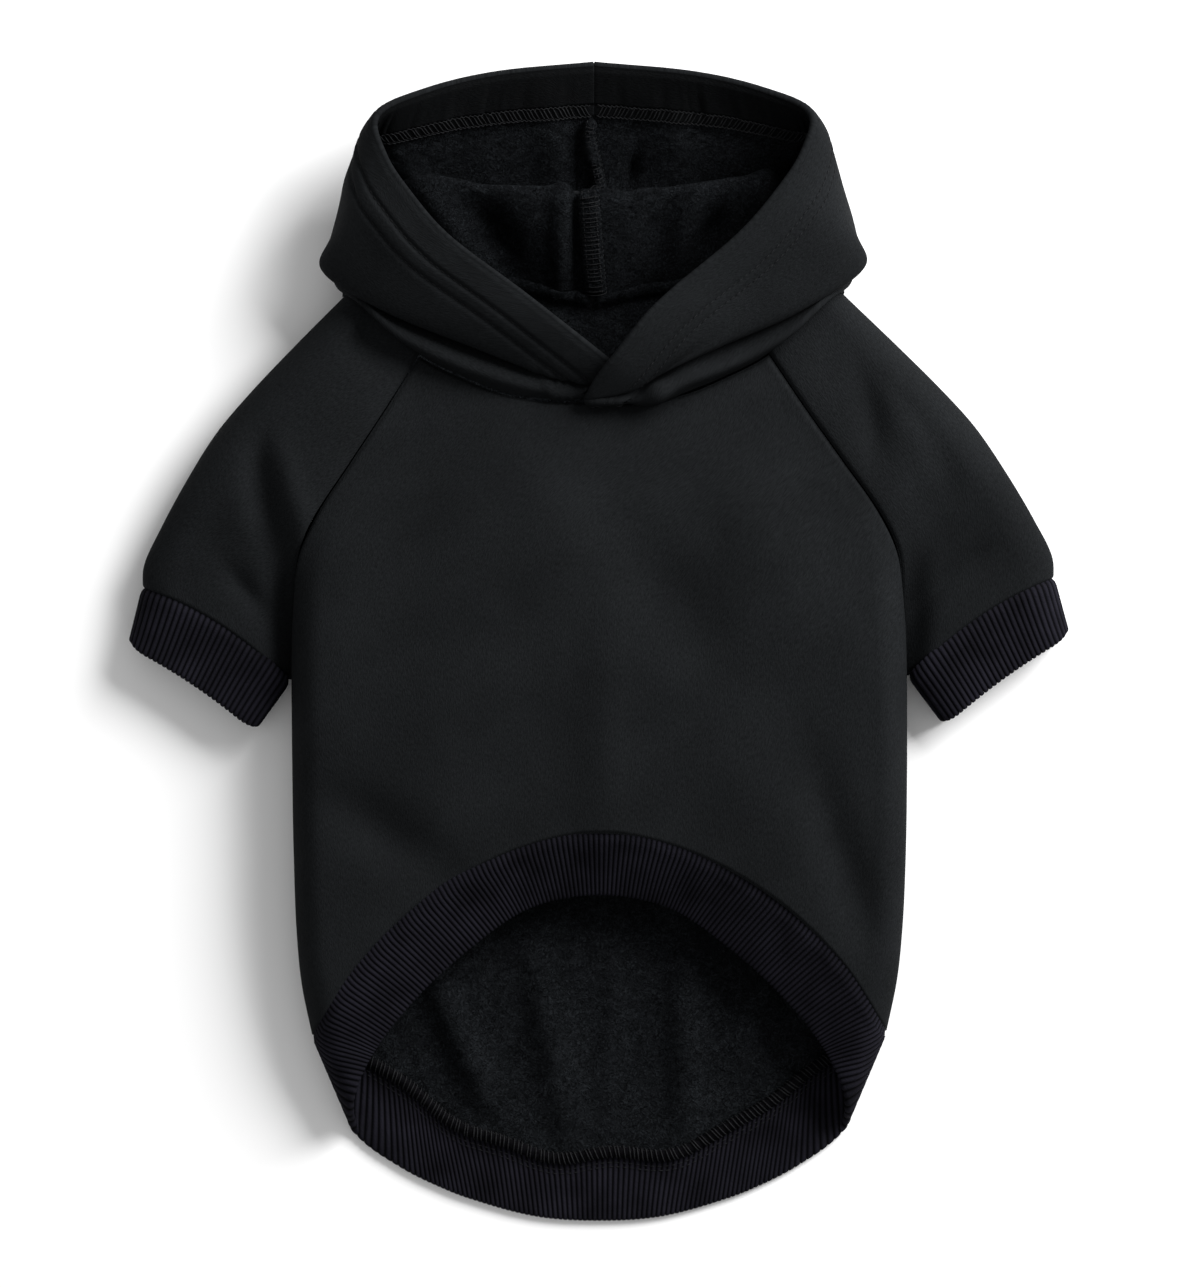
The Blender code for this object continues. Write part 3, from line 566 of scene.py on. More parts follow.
def sleeve():
    """Grid of the left sleeve around its shoulder fold, from the back's raglan to the belly's."""
    lower = sleeve_layer(True)
    upper = sleeve_layer(False)
    return np.concatenate([lower[:, ::-1], upper[:, 1:]], axis=1)


def cuff(sleeve_grid):
    """Closed rib tube from the sleeve's last row to the free edge, thinner and leaning inwards."""
    seam = sleeve_grid[-1].copy()
    seam[0] = (seam[0] + seam[-1]) / 2
    seam = seam[:-1]
    outer, inner = sleeve_corners()[1:]
    chord = inner - outer
    length = np.linalg.norm(chord)
    across = chord / length
    down = turned(across) * -1
    part = (seam[:, :2] - outer) @ across / length
    lean_share = CUFF_LEAN_OUT + (CUFF_LEAN_IN - CUFF_LEAN_OUT) * part
    lean_in = np.stack([-lean_share, -np.ones(len(part))], axis=-1)
    lean_in /= np.linalg.norm(lean_in, axis=1)[:, None]
    corner = 1 - rise(np.minimum(part, 1 - part) * length, CUFF_ROUND, 1.0)
    rows = []
    for share in np.linspace(0, 1, CUFF_STEPS + 1):
        reach = RIB_GAP + share * (CUFF_DEPTH - CUFF_CORNER * corner)
        plan = seam[:, :2] + reach[:, None] * lean_in
        straight = 4 * CUFF_SEAM_BOW * part * (1 - part) * length
        plan = plan + share * CUFF_STRAIGHTENS * straight[:, None] * down
        thinner = CUFF_LOFT / (SLEEVE_LOFT * SLEEVE_CROWN[-1].height) - 1
        scale = 1 + thinner * ramp(share, -0.3, 1.0)
        height = (seam[:, 2] - CLOTH / 2) * scale + RIB_CLOTH / 2
        rows.append(np.column_stack([plan, height]))
    return np.array(rows)


def hem_band(belly, back):
    """Closed rib loop from the seam under both body panels to the free edge."""
    upper = belly[-1].copy()
    lower = back[-1].copy()
    upper[0, 2] = (upper[0, 2] + lower[0, 2]) / 2
    upper[-1, 2] = (upper[-1, 2] + lower[-1, 2]) / 2
    seam = np.concatenate([upper, lower[::-1][1:-1]])
    width = upper[-1, 0] - upper[0, 0]
    part = (upper[:, 0] - upper[0, 0]) / width
    count = len(part)
    upper_plan = hem_line(BELLY_EDGE, part)
    lower_plan = hem_line(BACK_EDGE, part)
    near = np.minimum(part, 1 - part) * width
    share = rise(near, SIDE_FOLD_RADIUS, 1.0)
    side = BAND_SIDE_HEIGHT * HEM_LOFT
    upper_height = side + (BELLY_EDGE_HEIGHT * HEM_LOFT - side) * share
    lower_height = side + (RIB_CLOTH / 2 - side) * share
    upper_edge = np.column_stack([upper_plan, upper_height])
    lower_edge = np.column_stack([lower_plan, lower_height])
    edge = np.concatenate([upper_edge, lower_edge[::-1][1:-1]])
    seam[count:, 2] = np.maximum(seam[count:, 2], RIB_CLOTH / 2)
    toward = edge - seam
    length = np.linalg.norm(toward, axis=1)[:, None]
    start = seam + toward / length * RIB_GAP
    shares = np.linspace(0, 1, BAND_STEPS + 1)
    rows = [start + amount * (edge - start) for amount in shares]
    return np.array(rows)


def neck_loop(belly, back, sleeve_grid):
    """Left half of the neck edge as two polylines from the shoulder corner: back and belly."""
    middle = sleeve_grid.shape[1] // 2
    back_half = back[0, 1:back.shape[1] // 2 + 1]
    back_part = np.concatenate([sleeve_grid[0, :middle + 1][::-1], back_half])
    belly_part = np.concatenate([sleeve_grid[0, middle:], belly[0, 1:]])
    return back_part, belly_part


def neck_points(parts, seam, lap):
    """Start points of the hood paths: along the neck edge and one clearance away from it."""
    back_part, belly_part = parts
    end = np.argmin(np.abs(belly_part[:, 0] - (lap + THROAT_OUT * HOOD_WIDTH / 2)))
    belly_part = belly_part[:end + 1]
    back_at = along_curve(back_part, np.clip(1 - seam, 0, 1))
    belly_at = along_curve(belly_part, np.clip(seam - 1, 0, 1))
    points = np.where((seam < 1)[:, None], back_at, belly_at)
    front = ramp(seam, 1.0, 1.12)
    direction = np.gradient(points[:, :2], axis=0)
    direction /= np.linalg.norm(direction, axis=1)[:, None] + 1e-9
    outward = (1 - front)[:, None] * np.array([0.0, 1.0]) + front[:, None] * turned(direction)
    outward /= np.linalg.norm(outward, axis=1)[:, None]
    corner = front * (1 - ramp(seam, 1.14, 1.35))
    throat = ramp(seam, 1.55, 1.85)
    step = NECK_GAP + front * CLOTH / 4 + corner * CLOTH / 3 + throat * CLOTH / 3
    points[:, :2] += step[:, None] * outward
    points[:, 2] += (throat - front) * CLOTH / 4
    return points


def path_places():
    """Places along a hood path, closer together towards the rim."""
    parts = [index + np.arange(steps) / steps for index, steps in enumerate(PATH_STEPS)]
    return np.append(np.concatenate(parts), len(PATH_STEPS))


def hood_half(parts, side):
    """Grid of one hood half as on the left: rows are stations, columns run from neck to rim."""
    lap = HOOD_LAP if side == "left" else 0.0
    rows = np.arange(len(HOOD))
    at = np.linspace(0, len(HOOD) - 1, (len(HOOD) - 1) * STATION_STEPS + 1)
    seam = spline(rows, column(HOOD, "seam"), at)
    reach = spline(rows, column(HOOD, "lap"), at) * lap
    neck = neck_points(parts, seam, lap)
    guides = [neck]
    for name in ("roll", "crease", "fold", "band", "rim"):
        shares = spline(rows, column(HOOD, name), at)
        guide = shares * (-HOOD_WIDTH / 2, HOOD_LENGTH, HOOD_LOFT)
        guide[:, 0] += reach
        guides.append(guide)
    guides = np.array(guides)
    if side == "right":
        over = ramp(seam, 1.40, 1.75)
        forward = ramp(seam, 1.62, 1.85)
        guides[0, :, 1] -= forward * LAP_STEP
        guides[0, :, 2] += over * LAP_STEP
        guides[1:, :, 1] -= forward * LAP_STEP
        guides[1:, :, 2] += over * LAP_LIFT
    knots = np.arange(len(guides))
    path = path_places()
    grid = spline(knots, guides, path).transpose(1, 0, 2)
    grid[..., 2] = np.maximum(grid[..., 2], CLOTH / 2)
    grid[0, :, 0] = -SEAM_GAP
    return grid


def mirrored(grid):
    """Grid mirrored to the other side of the chest, with its columns turned round."""
    return (grid * (-1, 1, 1))[:, ::-1]


def unit(vectors):
    """Vectors scaled to length one."""
    return vectors / (np.linalg.norm(vectors, axis=-1, keepdims=True) + 1e-12)


def frame_shift(back_grid):
    """The shift from the plan of the tables to the CAD's frame, read off the back panel's box."""
    low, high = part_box("back_panel")
    flat = back_grid.reshape(-1, 3)
    middle = (flat.min(axis=0) + flat.max(axis=0)) / 2
    shift = (np.array(low) + np.array(high)) / 2 - middle
    return np.array([shift[0], shift[1], 0.0])


def outward(grid, ring=False):
    """Unit normals of a grid: down the rows crossed with across the columns, or round a ring."""
    down = np.gradient(grid, axis=0)
    if ring:
        across = (np.roll(grid, -1, axis=1) - np.roll(grid, 1, axis=1)) / 2
    else:
        across = np.gradient(grid, axis=1)
    return unit(np.cross(down, across))


def reach_along(grid, axis):
    """Distance of every point from the first and from the last row or column, along the cloth."""
    steps = np.linalg.norm(np.diff(grid, axis=axis), axis=2)
    pad = [(1, 0), (0, 0)] if axis == 0 else [(0, 0), (1, 0)]
    first = np.cumsum(np.pad(steps, pad), axis=axis)
    total = first[-1:] if axis == 0 else first[:, -1:]
    return first, total - first


def dip(distance, depth, width):
    """A groove beside a seam: deepest on the seam, gone within about twice its width."""
    return -depth * np.exp(-(distance / width) ** 2)


def creases(points, table):
    """Height of soft folds over the plan: ridges and dents that fade along and across."""
    total = np.zeros(points.shape[:-1])
    for row in table:
        angle = np.radians(row.turn)
        x = points[..., 0] - row.x
        y = points[..., 1] - row.y
        along = (x * np.cos(angle) + y * np.sin(angle)) / row.length
        across = (y * np.cos(angle) - x * np.sin(angle)) / row.width
        total += row.height * np.exp(-across ** 2 - along ** 2)
    return total


def waves(points, scale, seed):
    """Smooth unevenness between about -1 and 1: a sum of sines in directions set by the seed."""
    random = np.random.default_rng(seed)
    total = np.zeros(points.shape[:-1])
    for octave in range(5):
        size = 2 * np.pi / (scale * 0.55 ** octave)
        direction = unit(random.normal(size=3))
        side = unit(random.normal(size=3))
        phase = random.uniform(0, 2 * np.pi, 2)
        wave = np.sin(points @ direction * size + phase[0])
        total += wave * np.cos(points @ side * size + phase[1]) * 0.6 ** octave
    return total / 1.6


def strip(first, second):
    """Quads between two closed loops of vertex numbers."""
    return np.stack([np.roll(first, -1), first, second, np.roll(second, -1)], axis=-1)


def border(number, grid, ring):
    """The open edges of a grid as loops of vertex numbers, with the directions out of the cloth."""
    if ring:
        return [
            (number[0, ::-1], unit(grid[0] - grid[1])[::-1]),
            (number[-1], unit(grid[-1] - grid[-2])),
        ]
    edges = [
        (number[:, 0], grid[:, 0] - grid[:, 1]),
        (number[-1, 1:], grid[-1, 1:] - grid[-2, 1:]),
        (number[-2::-1, -1], (grid[:, -1] - grid[:, -2])[-2::-1]),
        (number[0, -2:0:-1], (grid[0] - grid[1])[-2:0:-1]),
    ]
    loop = np.concatenate([edge[0] for edge in edges])
    return [(loop, unit(np.concatenate([edge[1] for edge in edges])))]


def on_floor(points):
    """The points with none of them below the floor."""
    return np.column_stack([points[:, :2], np.maximum(points[:, 2], 0)])


def cloth_piece(name, grid, outer, inner, ring=False, bulge=0.35, cap_steps=3, ribs=None):
    """A closed cloth: its sides lie outer and inner off the grid along its normals, its edges round.

    Faces have material 0 outside, 1 inside and 2 on the edges. The points carry their place on the
    cloth in metres as the attribute cloth, and rib heights as the attribute rib.
    """
    rows, columns = grid.shape[:2]
    normal = outward(grid, ring)
    number = np.arange(rows * columns).reshape(rows, columns)
    wide = np.concatenate([number, number[:, :1]], axis=1) if ring else number
    front = np.stack([wide[:-1, :-1], wide[1:, :-1], wide[1:, 1:], wide[:-1, 1:]], axis=-1)
    front = front.reshape(-1, 4)
    top = on_floor((grid + normal * outer[..., None]).reshape(-1, 3))
    bottom = on_floor((grid - normal * inner[..., None]).reshape(-1, 3))
    across, down = reach_along(grid, 1)[0], reach_along(grid, 0)[0]
    place = np.stack([across, down, np.zeros((rows, columns))], axis=-1).reshape(-1, 3)
    rib = np.zeros(rows * columns) if ribs is None else ribs.ravel()
    points = [top, bottom]
    places = [place, place]
    heights = [rib, rib]
    faces = [front, front[:, ::-1] + rows * columns]
    kinds = [np.zeros(len(front), int), np.ones(len(front), int)]
    count = 2 * rows * columns
    for loop, away in border(number, grid, ring):
        middle = (top[loop] + bottom[loop]) / 2
        half = (top[loop] - bottom[loop]) / 2
        size = np.linalg.norm(half, axis=1, keepdims=True)
        previous = loop
        for angle in np.pi * np.arange(1, cap_steps + 1) / (cap_steps + 1):
            points.append(middle + half * np.cos(angle) + away * size * np.sin(angle) * bulge)
            places.append(place[loop])
            heights.append(rib[loop])
            numbers = count + np.arange(len(loop))
            faces.append(strip(previous, numbers))
            previous = numbers
            count += len(loop)
        faces.append(strip(previous, loop + rows * columns))
        kinds.append(np.full(len(loop) * (cap_steps + 1), 2))
    item = mesh_object(name, np.concatenate(points), np.concatenate(faces), np.concatenate(kinds))
    store(item, "cloth", "FLOAT_VECTOR", np.concatenate(places))
    if ribs is not None:
        store(item, "rib", "FLOAT", np.concatenate(heights))
    return item


def mesh_object(name, points, faces, kinds):
    """A mesh object of quads, shaded smooth, with the material number of each face."""
    mesh = bpy.data.meshes.new(name)
    mesh.vertices.add(len(points))
    mesh.vertices.foreach_set("co", np.asarray(points, np.float32).ravel())
    mesh.loops.add(faces.size)
    mesh.loops.foreach_set("vertex_index", np.asarray(faces, np.int32).ravel())
    mesh.polygons.add(len(faces))
    starts = np.arange(0, faces.size, faces.shape[1], dtype=np.int32)
    mesh.polygons.foreach_set("loop_start", starts)
    mesh.polygons.foreach_set("material_index", np.asarray(kinds, np.int32))
    mesh.update()
    mesh.shade_smooth()
    item = bpy.data.objects.new(name, mesh)
    bpy.context.scene.collection.objects.link(item)
    return item


def store(item, name, kind, values):
    """Keeps a value for each point of a mesh under the given name."""
    attribute = item.data.attributes.new(name, kind, "POINT")
    field = "value" if kind == "FLOAT" else "vector"
    attribute.data.foreach_set(field, np.asarray(values, np.float32).ravel())


def dress(item, node, materials):
    """Gives a piece its materials and its body, and hides the CAD node that it stands for."""
    for material in materials:
        item.data.materials.append(material)
    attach(item, "root")
    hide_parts(node)
    return item


# Threads and seam strips

class Track:
    """A line over a cloth with the cloth's normals, read by the distance along it."""

    def __init__(self, points, normals):
        self.points = points
        self.normals = normals
        steps = np.linalg.norm(np.diff(points, axis=0), axis=1)
        self.places = np.concatenate([[0], np.cumsum(steps)])
        self.length = self.places[-1]
        self.tangents = unit(np.gradient(points, axis=0))

    def read(self, values, at):
        flat = np.ravel(at)
        columns = [np.interp(flat, self.places, values[:, axis]) for axis in range(3)]
        return np.stack(columns, axis=-1).reshape(np.shape(at) + (3,))

    def frame(self, at):
        """Points, tangents, sides and normals at distances along the line."""
        tangent = unit(self.read(self.tangents, at))
        side = unit(np.cross(self.read(self.normals, at), tangent))
        return self.read(self.points, at), tangent, side, np.cross(tangent, side)


def tubes(centres, first, second, sides):
    """Closed tubes along rows of centres, first and second spanning each cross section."""
    count, steps = centres.shape[:2]
    angles = 2 * np.pi * np.arange(sides) / sides
    points = centres[:, :, None] + first[:, :, None] * np.cos(angles)[:, None]
    points = points + second[:, :, None] * np.sin(angles)[:, None]
    number = np.arange(count * steps * sides).reshape(count, steps, sides)
    ahead = np.roll(number, -1, axis=2)
    walls = np.stack([number[:, :-1], ahead[:, :-1], ahead[:, 1:], number[:, 1:]], axis=-1)
    faces = [walls.reshape(-1, 4)]
    for corner in range(1, sides - 2, 2):
        cap = [0, corner, corner + 1, corner + 2]
        faces.append(number[:, -1][:, cap])
        faces.append(number[:, 0][:, cap[::-1]])
    return points.reshape(-1, 3), np.concatenate(faces)


def stitch_row(track, pitch, length, lift, radius, offset=0.0):
    """Running stitches: each lies along the line, arching a little out of the cloth."""
    starts = np.arange(pitch / 2, track.length - pitch, pitch)
    part = np.linspace(0, 1, 5)
    point, _, side, normal = track.frame(starts[:, None] + part * length)
    arch = np.sin(np.pi * part)[:, None]
    thick = radius * np.sqrt(0.1 + 0.9 * arch)
    centres = point + side * offset + normal * lift * arch
    return tubes(centres, side * thick, normal * thick, THREAD_SIDES)


def overlock_row(track, pitch, width, height, slant, radius):
    """Overlock loops: each arches over the strip from one side to the other, leaning along it."""
    starts = np.arange(pitch / 2, track.length - pitch - abs(slant), pitch) + max(-slant, 0)
    starts = starts + pitch * 0.22 * np.sin(17 * np.arange(len(starts)) ** 1.3)
    part = np.linspace(0, 1, 8)
    angle = (np.pi * (1.16 * part - 0.08))[:, None]
    point, tangent, side, normal = track.frame(starts[:, None] + slant * part)
    centres = point + side * np.cos(angle) * width / 2 + normal * np.sin(angle) * height
    away = unit(side * np.cos(angle) * height + normal * np.sin(angle) * width / 2)
    return tubes(centres, tangent * radius, away * radius, THREAD_SIDES)


def chain_row(track, thread, offset):
    """The looper thread along an overlock's edge: a wavy line of short links."""
    radius = thread * THIN_THREAD
    starts = np.arange(OVERLOCK_PITCH / 2, track.length - 2 * OVERLOCK_PITCH, OVERLOCK_PITCH)
    part = np.linspace(0, 1, 7)
    point, _, side, normal = track.frame(starts[:, None] + OVERLOCK_PITCH * 1.25 * part)
    sway = (CHAIN_SWAY * np.sin(2 * np.pi * part))[:, None]
    lift = (radius * (1 + np.sin(np.pi * part)))[:, None]
    centres = point + side * (offset + sway) + normal * lift
    return tubes(centres, side * radius, normal * radius, THREAD_SIDES)


def fuzz(track, count, width, height, length, radius, seed, lean=0.0):
    """Short loose fibres standing out of a strip in all directions."""
    random = np.random.default_rng(seed)
    at = np.sort(random.uniform(0, track.length, count))
    point, tangent, side, normal = track.frame(at)
    turn = random.uniform(0, np.pi, count)[:, None]
    out = side * np.cos(turn) + normal * np.sin(turn)
    base = point + side * np.cos(turn) * width / 2 + normal * np.sin(turn) * height
    stray = random.normal(0, 0.5, (count, 3))
    reach = random.uniform(0.4, 1.0, count)[:, None] * length
    end = base + unit(out + stray + side * lean) * reach
    part = np.linspace(0, 1, 3)[:, None]
    centres = base[:, None] + (end - base)[:, None] * part
    centres = centres + stray[:, None] * reach[:, None] * 0.25 * part ** 2
    line = unit(np.gradient(centres, axis=1))
    first = unit(np.cross(line, tangent[:, None] + 0.01))
    second = np.cross(line, first)
    thick = radius * (1.05 - part)
    return tubes(centres, first * thick, second * thick, FIBRE_SIDES)


def padded_strip(track, width, height, swell, seed):
    """A flat rolled strip of cloth along a line: an oval tube, drawn in at both ends."""
    at = np.linspace(0, track.length, max(12, int(track.length / 0.0012)))
    point, _, side, normal = track.frame(at[None])
    part = np.linspace(0, 1, len(at))
    ends = np.sqrt(np.clip(np.minimum(part, 1 - part) * track.length / (width * 0.4), 0.02, 1))
    uneven = 1 + swell * waves(point, 0.02, seed)[0]
    wide = (width / 2 * ends * uneven)[:, None]
    high = (height / 2 * ends * uneven)[:, None]
    return tubes(point + normal * high * 0.8, side * wide, normal * high, STRIP_SIDES)


def joined(name, groups, node, material):
    """One object from several groups of tubes."""
    points = []
    faces = []
    count = 0
    for group_points, group_faces in groups:
        points.append(group_points)
        faces.append(group_faces + count)
        count += len(group_points)
    faces = np.concatenate(faces)
    item = mesh_object(name, np.concatenate(points), faces, np.zeros(len(faces), int))
    return dress(item, node, (material,))


def line_at(surface, normals, distance, wanted):
    """The track over the rows of a surface where the distance from an edge has the wanted value."""
    if distance[0, 0] > distance[0, -1]:
        surface, normals, distance = surface[:, ::-1], normals[:, ::-1], distance[:, ::-1]
    points = []
    ups = []
    for row, up, far in zip(surface, normals, distance):
        points.append([np.interp(wanted, far, row[:, axis]) for axis in range(3)])
        ups.append([np.interp(wanted, far, up[:, axis]) for axis in range(3)])
    return Track(np.array(points), unit(np.array(ups)))


# Materials

# One noise of a material: its coordinates (the attribute cloth, or the object's own where empty),
# waves per metre, detail, roughness, distortion, and the places and strengths of its tones. The
# first noise tints the colour and the next ones are greys on top. The rib look starts from the
# heights of the ribs.
Tone = namedtuple("Tone", "source scale detail roughness distortion stops")
# The bumps of a look are the number of a noise with a strength and a height in metres
Look = namedtuple("Look", "tones bumps roughness specular")
LOOKS = {
    # Smooth sweatshirt knit: fine lengthwise wales, faint brushed streaks and patches
    "shell": Look(rows_of(
        Tone,
        ("cloth", (1650, 560, 1), 3, 0.65, 0.0, ((0.32, 0.68), (0.70, 1.36))),
        ("cloth", (500, 90, 1), 5, 0.60, 0.4, ((0.30, 0.93), (0.72, 1.08))),
        ("", (26, 26, 26), 3, 0.5, 0.0, ((0.30, 0.84), (0.70, 1.16))),
    ), bumps=((0, 0.6, 0.0006),), roughness=0.85, specular=0.03),
    # Brushed fleece: curly tufts and soft clumps whose tone follows their bumps, lighter on top and
    # darker in the hollows as painted light and shade, and narrow dark lines of painted shade in the
    # crevices between them
    "fleece": Look(rows_of(
        Tone,
        ("", (430, 430, 430), 5, 0.66, 2.6, ((0.36, 0.35), (0.50, 0.95), (0.66, 2.1))),
        ("", (110, 110, 110), 4, 0.6, 1.2, ((0.32, 0.75), (0.68, 1.30))),
        ("", (240, 240, 240), 3, 0.6, 1.5, ((0.47, 1.0), (0.50, 0.45), (0.53, 1.0))),
    ), bumps=((1, 1.0, 0.0030), (0, 1.0, 0.0022)), roughness=0.95, specular=0.02),
    # Rib knit: painted highlight on the ridges and painted shade in the grooves, by the height of
    # the ribs, fine yarn along them
    "rib": Look(rows_of(
        Tone,
        ("rib", None, 0, 0, 0, ((0.25, 0.26), (0.70, 0.95), (0.98, 1.7))),
        ("", (60, 60, 60), 3, 0.5, 0.0, ((0.30, 0.60), (0.70, 1.40))),
        ("", (1100, 1100, 1100), 3, 0.6, 0.0, ()),
    ), bumps=((2, 0.6, 0.0005),), roughness=0.85, specular=0.04),
    # Sewing thread with a fine twist
    "thread": Look(rows_of(
        Tone, ("", (1600, 1600, 1600), 2, 0.5, 0.0, ((0.35, 0.6), (0.65, 1.4))),
    ), bumps=(), roughness=0.70, specular=0.06),
    # Matt floor with a barely uneven tone
    "floor": Look(rows_of(
        Tone, ("", (3, 3, 3), 2, 0.5, 0.0, ((0.3, 0.99), (0.7, 1.0))),
    ), bumps=(), roughness=0.9, specular=0.1),
}
WHITE = (1.0, 1.0, 1.0)
# Factor by which the facing is painted darker than the shell: painted shade inside the hood
FACING_SHADE = 0.40


def add_node(tree, kind, values, links):
    """A shader node with its sockets set to the values and linked to other sockets."""
    node = tree.nodes.new("ShaderNode" + kind)
    for socket, value in values.items():
        node.inputs[socket].default_value = value
    for socket, source in links.items():
        tree.links.new(source, node.inputs[socket])
    return node


def height_of(tree, tone):
    """The socket of a noise, or of the attribute that stands in for one."""
    if tone.source:
        place = add_node(tree, "Attribute", {}, {})
        place.attribute_name = tone.source
        if tone.scale is None:
            return place.outputs["Fac"]
        place = place.outputs["Vector"]
    else:
        place = add_node(tree, "TexCoord", {}, {}).outputs["Object"]
    mapping = add_node(tree, "Mapping", {"Scale": tone.scale}, {"Vector": place})
    values = {"Scale": 1.0, "Detail": tone.detail, "Roughness": tone.roughness,
              "Distortion": tone.distortion}
    return add_node(tree, "TexNoise", values, {"Vector": mapping.outputs["Vector"]}).outputs["Fac"]


def colour_ramp(tree, source, stops, base):
    """A colour ramp whose stops are places with the base colour made darker or lighter."""
    node = add_node(tree, "ValToRGB", {}, {"Fac": source})
    elements = node.color_ramp.elements
    while len(elements) < len(stops):
        elements.new(0.5)
    for element, (place, amount) in zip(elements, stops):
        element.position = place
        element.color = (*tinted(base, amount), 1.0)
    return node.outputs["Color"]


def product(tree, one, two):
    """The product of two colours."""
    mix = tree.nodes.new("ShaderNodeMix")
    mix.data_type = "RGBA"
    mix.blend_type = "MULTIPLY"
    mix.inputs["Factor"].default_value = 1.0
    tree.links.new(one, mix.inputs["A"])
    tree.links.new(two, mix.inputs["B"])
    return mix.outputs["Result"]


def tinted(colour, amount):
    """A colour made lighter or darker by a factor."""
    return tuple(channel * amount for channel in colour)


def make_material(name, look, colour):
    """The material of a look in a colour, made on first use."""
    if name in bpy.data.materials:
        return bpy.data.materials[name]
    material = bpy.data.materials.new(name)
    material.use_nodes = True
    tree = material.node_tree
    tree.nodes.clear()
    values = {"Roughness": look.roughness, "Specular IOR Level": look.specular}
    shader = add_node(tree, "BsdfPrincipled", values, {})
    add_node(tree, "OutputMaterial", {}, {"Surface": shader.outputs["BSDF"]})
    heights = [height_of(tree, tone) for tone in look.tones]
    colours = None
    for height, tone in zip(heights, look.tones):
        if colours is None:
            colours = colour_ramp(tree, height, tone.stops, colour)
        elif tone.stops:
            colours = product(tree, colours, colour_ramp(tree, height, tone.stops, WHITE))
    tree.links.new(colours, shader.inputs["Base Color"])
    bend = {}
    for number, strength, distance in look.bumps:
        values = {"Strength": strength, "Distance": distance}
        bump = add_node(tree, "Bump", values, {"Height": heights[number], **bend})
        bend = {"Normal": bump.outputs["Normal"]}
    if bend:
        tree.links.new(bend["Normal"], shader.inputs["Normal"])
    return material


# Piece settings

def number_setting(name, description, default, low=0.0, unit="NONE"):
    """A number in the panel, in metres where its unit is a length."""
    return bpy.props.FloatProperty(
        name=name, description=description, default=default, min=low, unit=unit)


def colour_setting(name, description, default):
    """A colour in the panel."""
    return bpy.props.FloatVectorProperty(
        name=name, description=description, default=default, min=0.0, max=1.0, size=3,
        subtype="COLOR")


class HoodieClothSettings(bpy.types.PropertyGroup):
    """Sizes and colours of the cloth."""

    rib_pitch: number_setting(
        "Rib pitch", "Distance from one rib of the hem band to the next", 0.0022, 0.001, "LENGTH")
    cuff_rib_pitch: number_setting(
        "Cuff rib pitch", "Distance from one rib of a cuff to the next", 0.0024, 0.001, "LENGTH")
    rib_depth: number_setting(
        "Rib depth", "Height of a rib over the groove beside it", 0.0007, 0.0, "LENGTH")
    seam_depth: number_setting(
        "Seam depth", "Depth of the groove beside a seam", 0.0011, 0.0, "LENGTH")
    thread_radius: number_setting(
        "Thread radius", "Half the thickness of the overlock thread", 0.00028, 0.0001, "LENGTH")
    fold_scale: number_setting("Fold scale", "Strength of the soft folds in the cloth", 1.0)
    shell_colour: colour_setting(
        "Shell colour", "Colour of the smooth outside", (0.0072, 0.0079, 0.0086))
    fleece_colour: colour_setting(
        "Fleece colour", "Colour of the brushed inside", (0.0078, 0.0088, 0.0100))
    rib_colour: colour_setting(
        "Rib colour", "Colour of the rib knit", (0.0044, 0.0042, 0.0062))
    thread_colour: colour_setting(
        "Thread colour", "Colour of the sewing thread", (0.0100, 0.0104, 0.0112))


class HoodieStageSettings(bpy.types.PropertyGroup):
    """Camera, lights and floor."""

    camera_height: number_setting(
        "Camera height", "Height of the camera above the floor", 2.6, 0.5, "LENGTH")
    view_height: number_setting(
        "View height", "Height of the floor area that the frame takes in", 0.541, 0.1, "LENGTH")
    key_power: number_setting("Key power", "Power of the soft light from the right in watts", 78.0)
    fill_strength: number_setting(
        "Fill strength", "Strength of the even light from all round", 0.50)
    floor_colour: colour_setting("Floor colour", "Colour of the floor", (0.93, 0.93, 0.93))


# Shared shapes, worked out once for all the operators

GRIDS = {}


def wave_hem(back):
    """Lets the back hem seam run in soft waves, as the folds of the panel push it down."""
    near = ramp(body_rows(), 0.72, 1.0)[:, None] * (1 - ramp(np.abs(back[..., 0]), 0.068, 0.095))
    turn = 2 * np.pi * (back[..., 0] - HEM_WAVE_START) / HEM_WAVE_LENGTH
    back[..., 1] -= HEM_WAVE * near * np.cos(turn)
    return back


def tucked(grid):
    """The sleeve with its closed underarm edges slipped a little under the body's side fold."""
    first, last = reach_along(grid, 1)
    far = np.minimum(first, last)
    closing = ramp(np.linspace(0, 1, len(grid)), 0.50, 0.72)[:, None]
    moved = grid.copy()
    moved[..., 0] += UNDERARM_TUCK * closing * np.exp(-(far / UNDERARM_REACH) ** 2)
    drop = UNDERARM_DROP * closing * np.exp(-(far / UNDERARM_DROP_REACH) ** 2)
    moved[..., 2] = np.maximum(moved[..., 2] - drop, CLOTH / 2)
    return moved


def shape_grids():
    """The grids of all cloth pieces in the CAD's frame, made once."""
    if GRIDS:
        return GRIDS
    belly = body_panel(False)
    back = wave_hem(body_panel(True))
    left_sleeve = sleeve()
    left_cuff = cuff(left_sleeve)
    parts = neck_loop(belly, back, left_sleeve)
    plain = {
        "belly": belly,
        "back": back,
        "sleeve_left": tucked(left_sleeve),
        "sleeve_right": mirrored(tucked(left_sleeve)),
        "cuff_left": left_cuff,
        "cuff_right": mirrored(left_cuff),
        "band": hem_band(belly, back),
        "hood_left": hood_half(parts, "left"),
        "hood_right": mirrored(hood_half(parts, "right")),
    }
    shift = frame_shift(lean(body_panel(True)))
    for name, grid in plain.items():
        GRIDS[name] = lean(grid) + shift
    return GRIDS


Cloths = namedtuple("Cloths", "shell fleece rib thread facing")


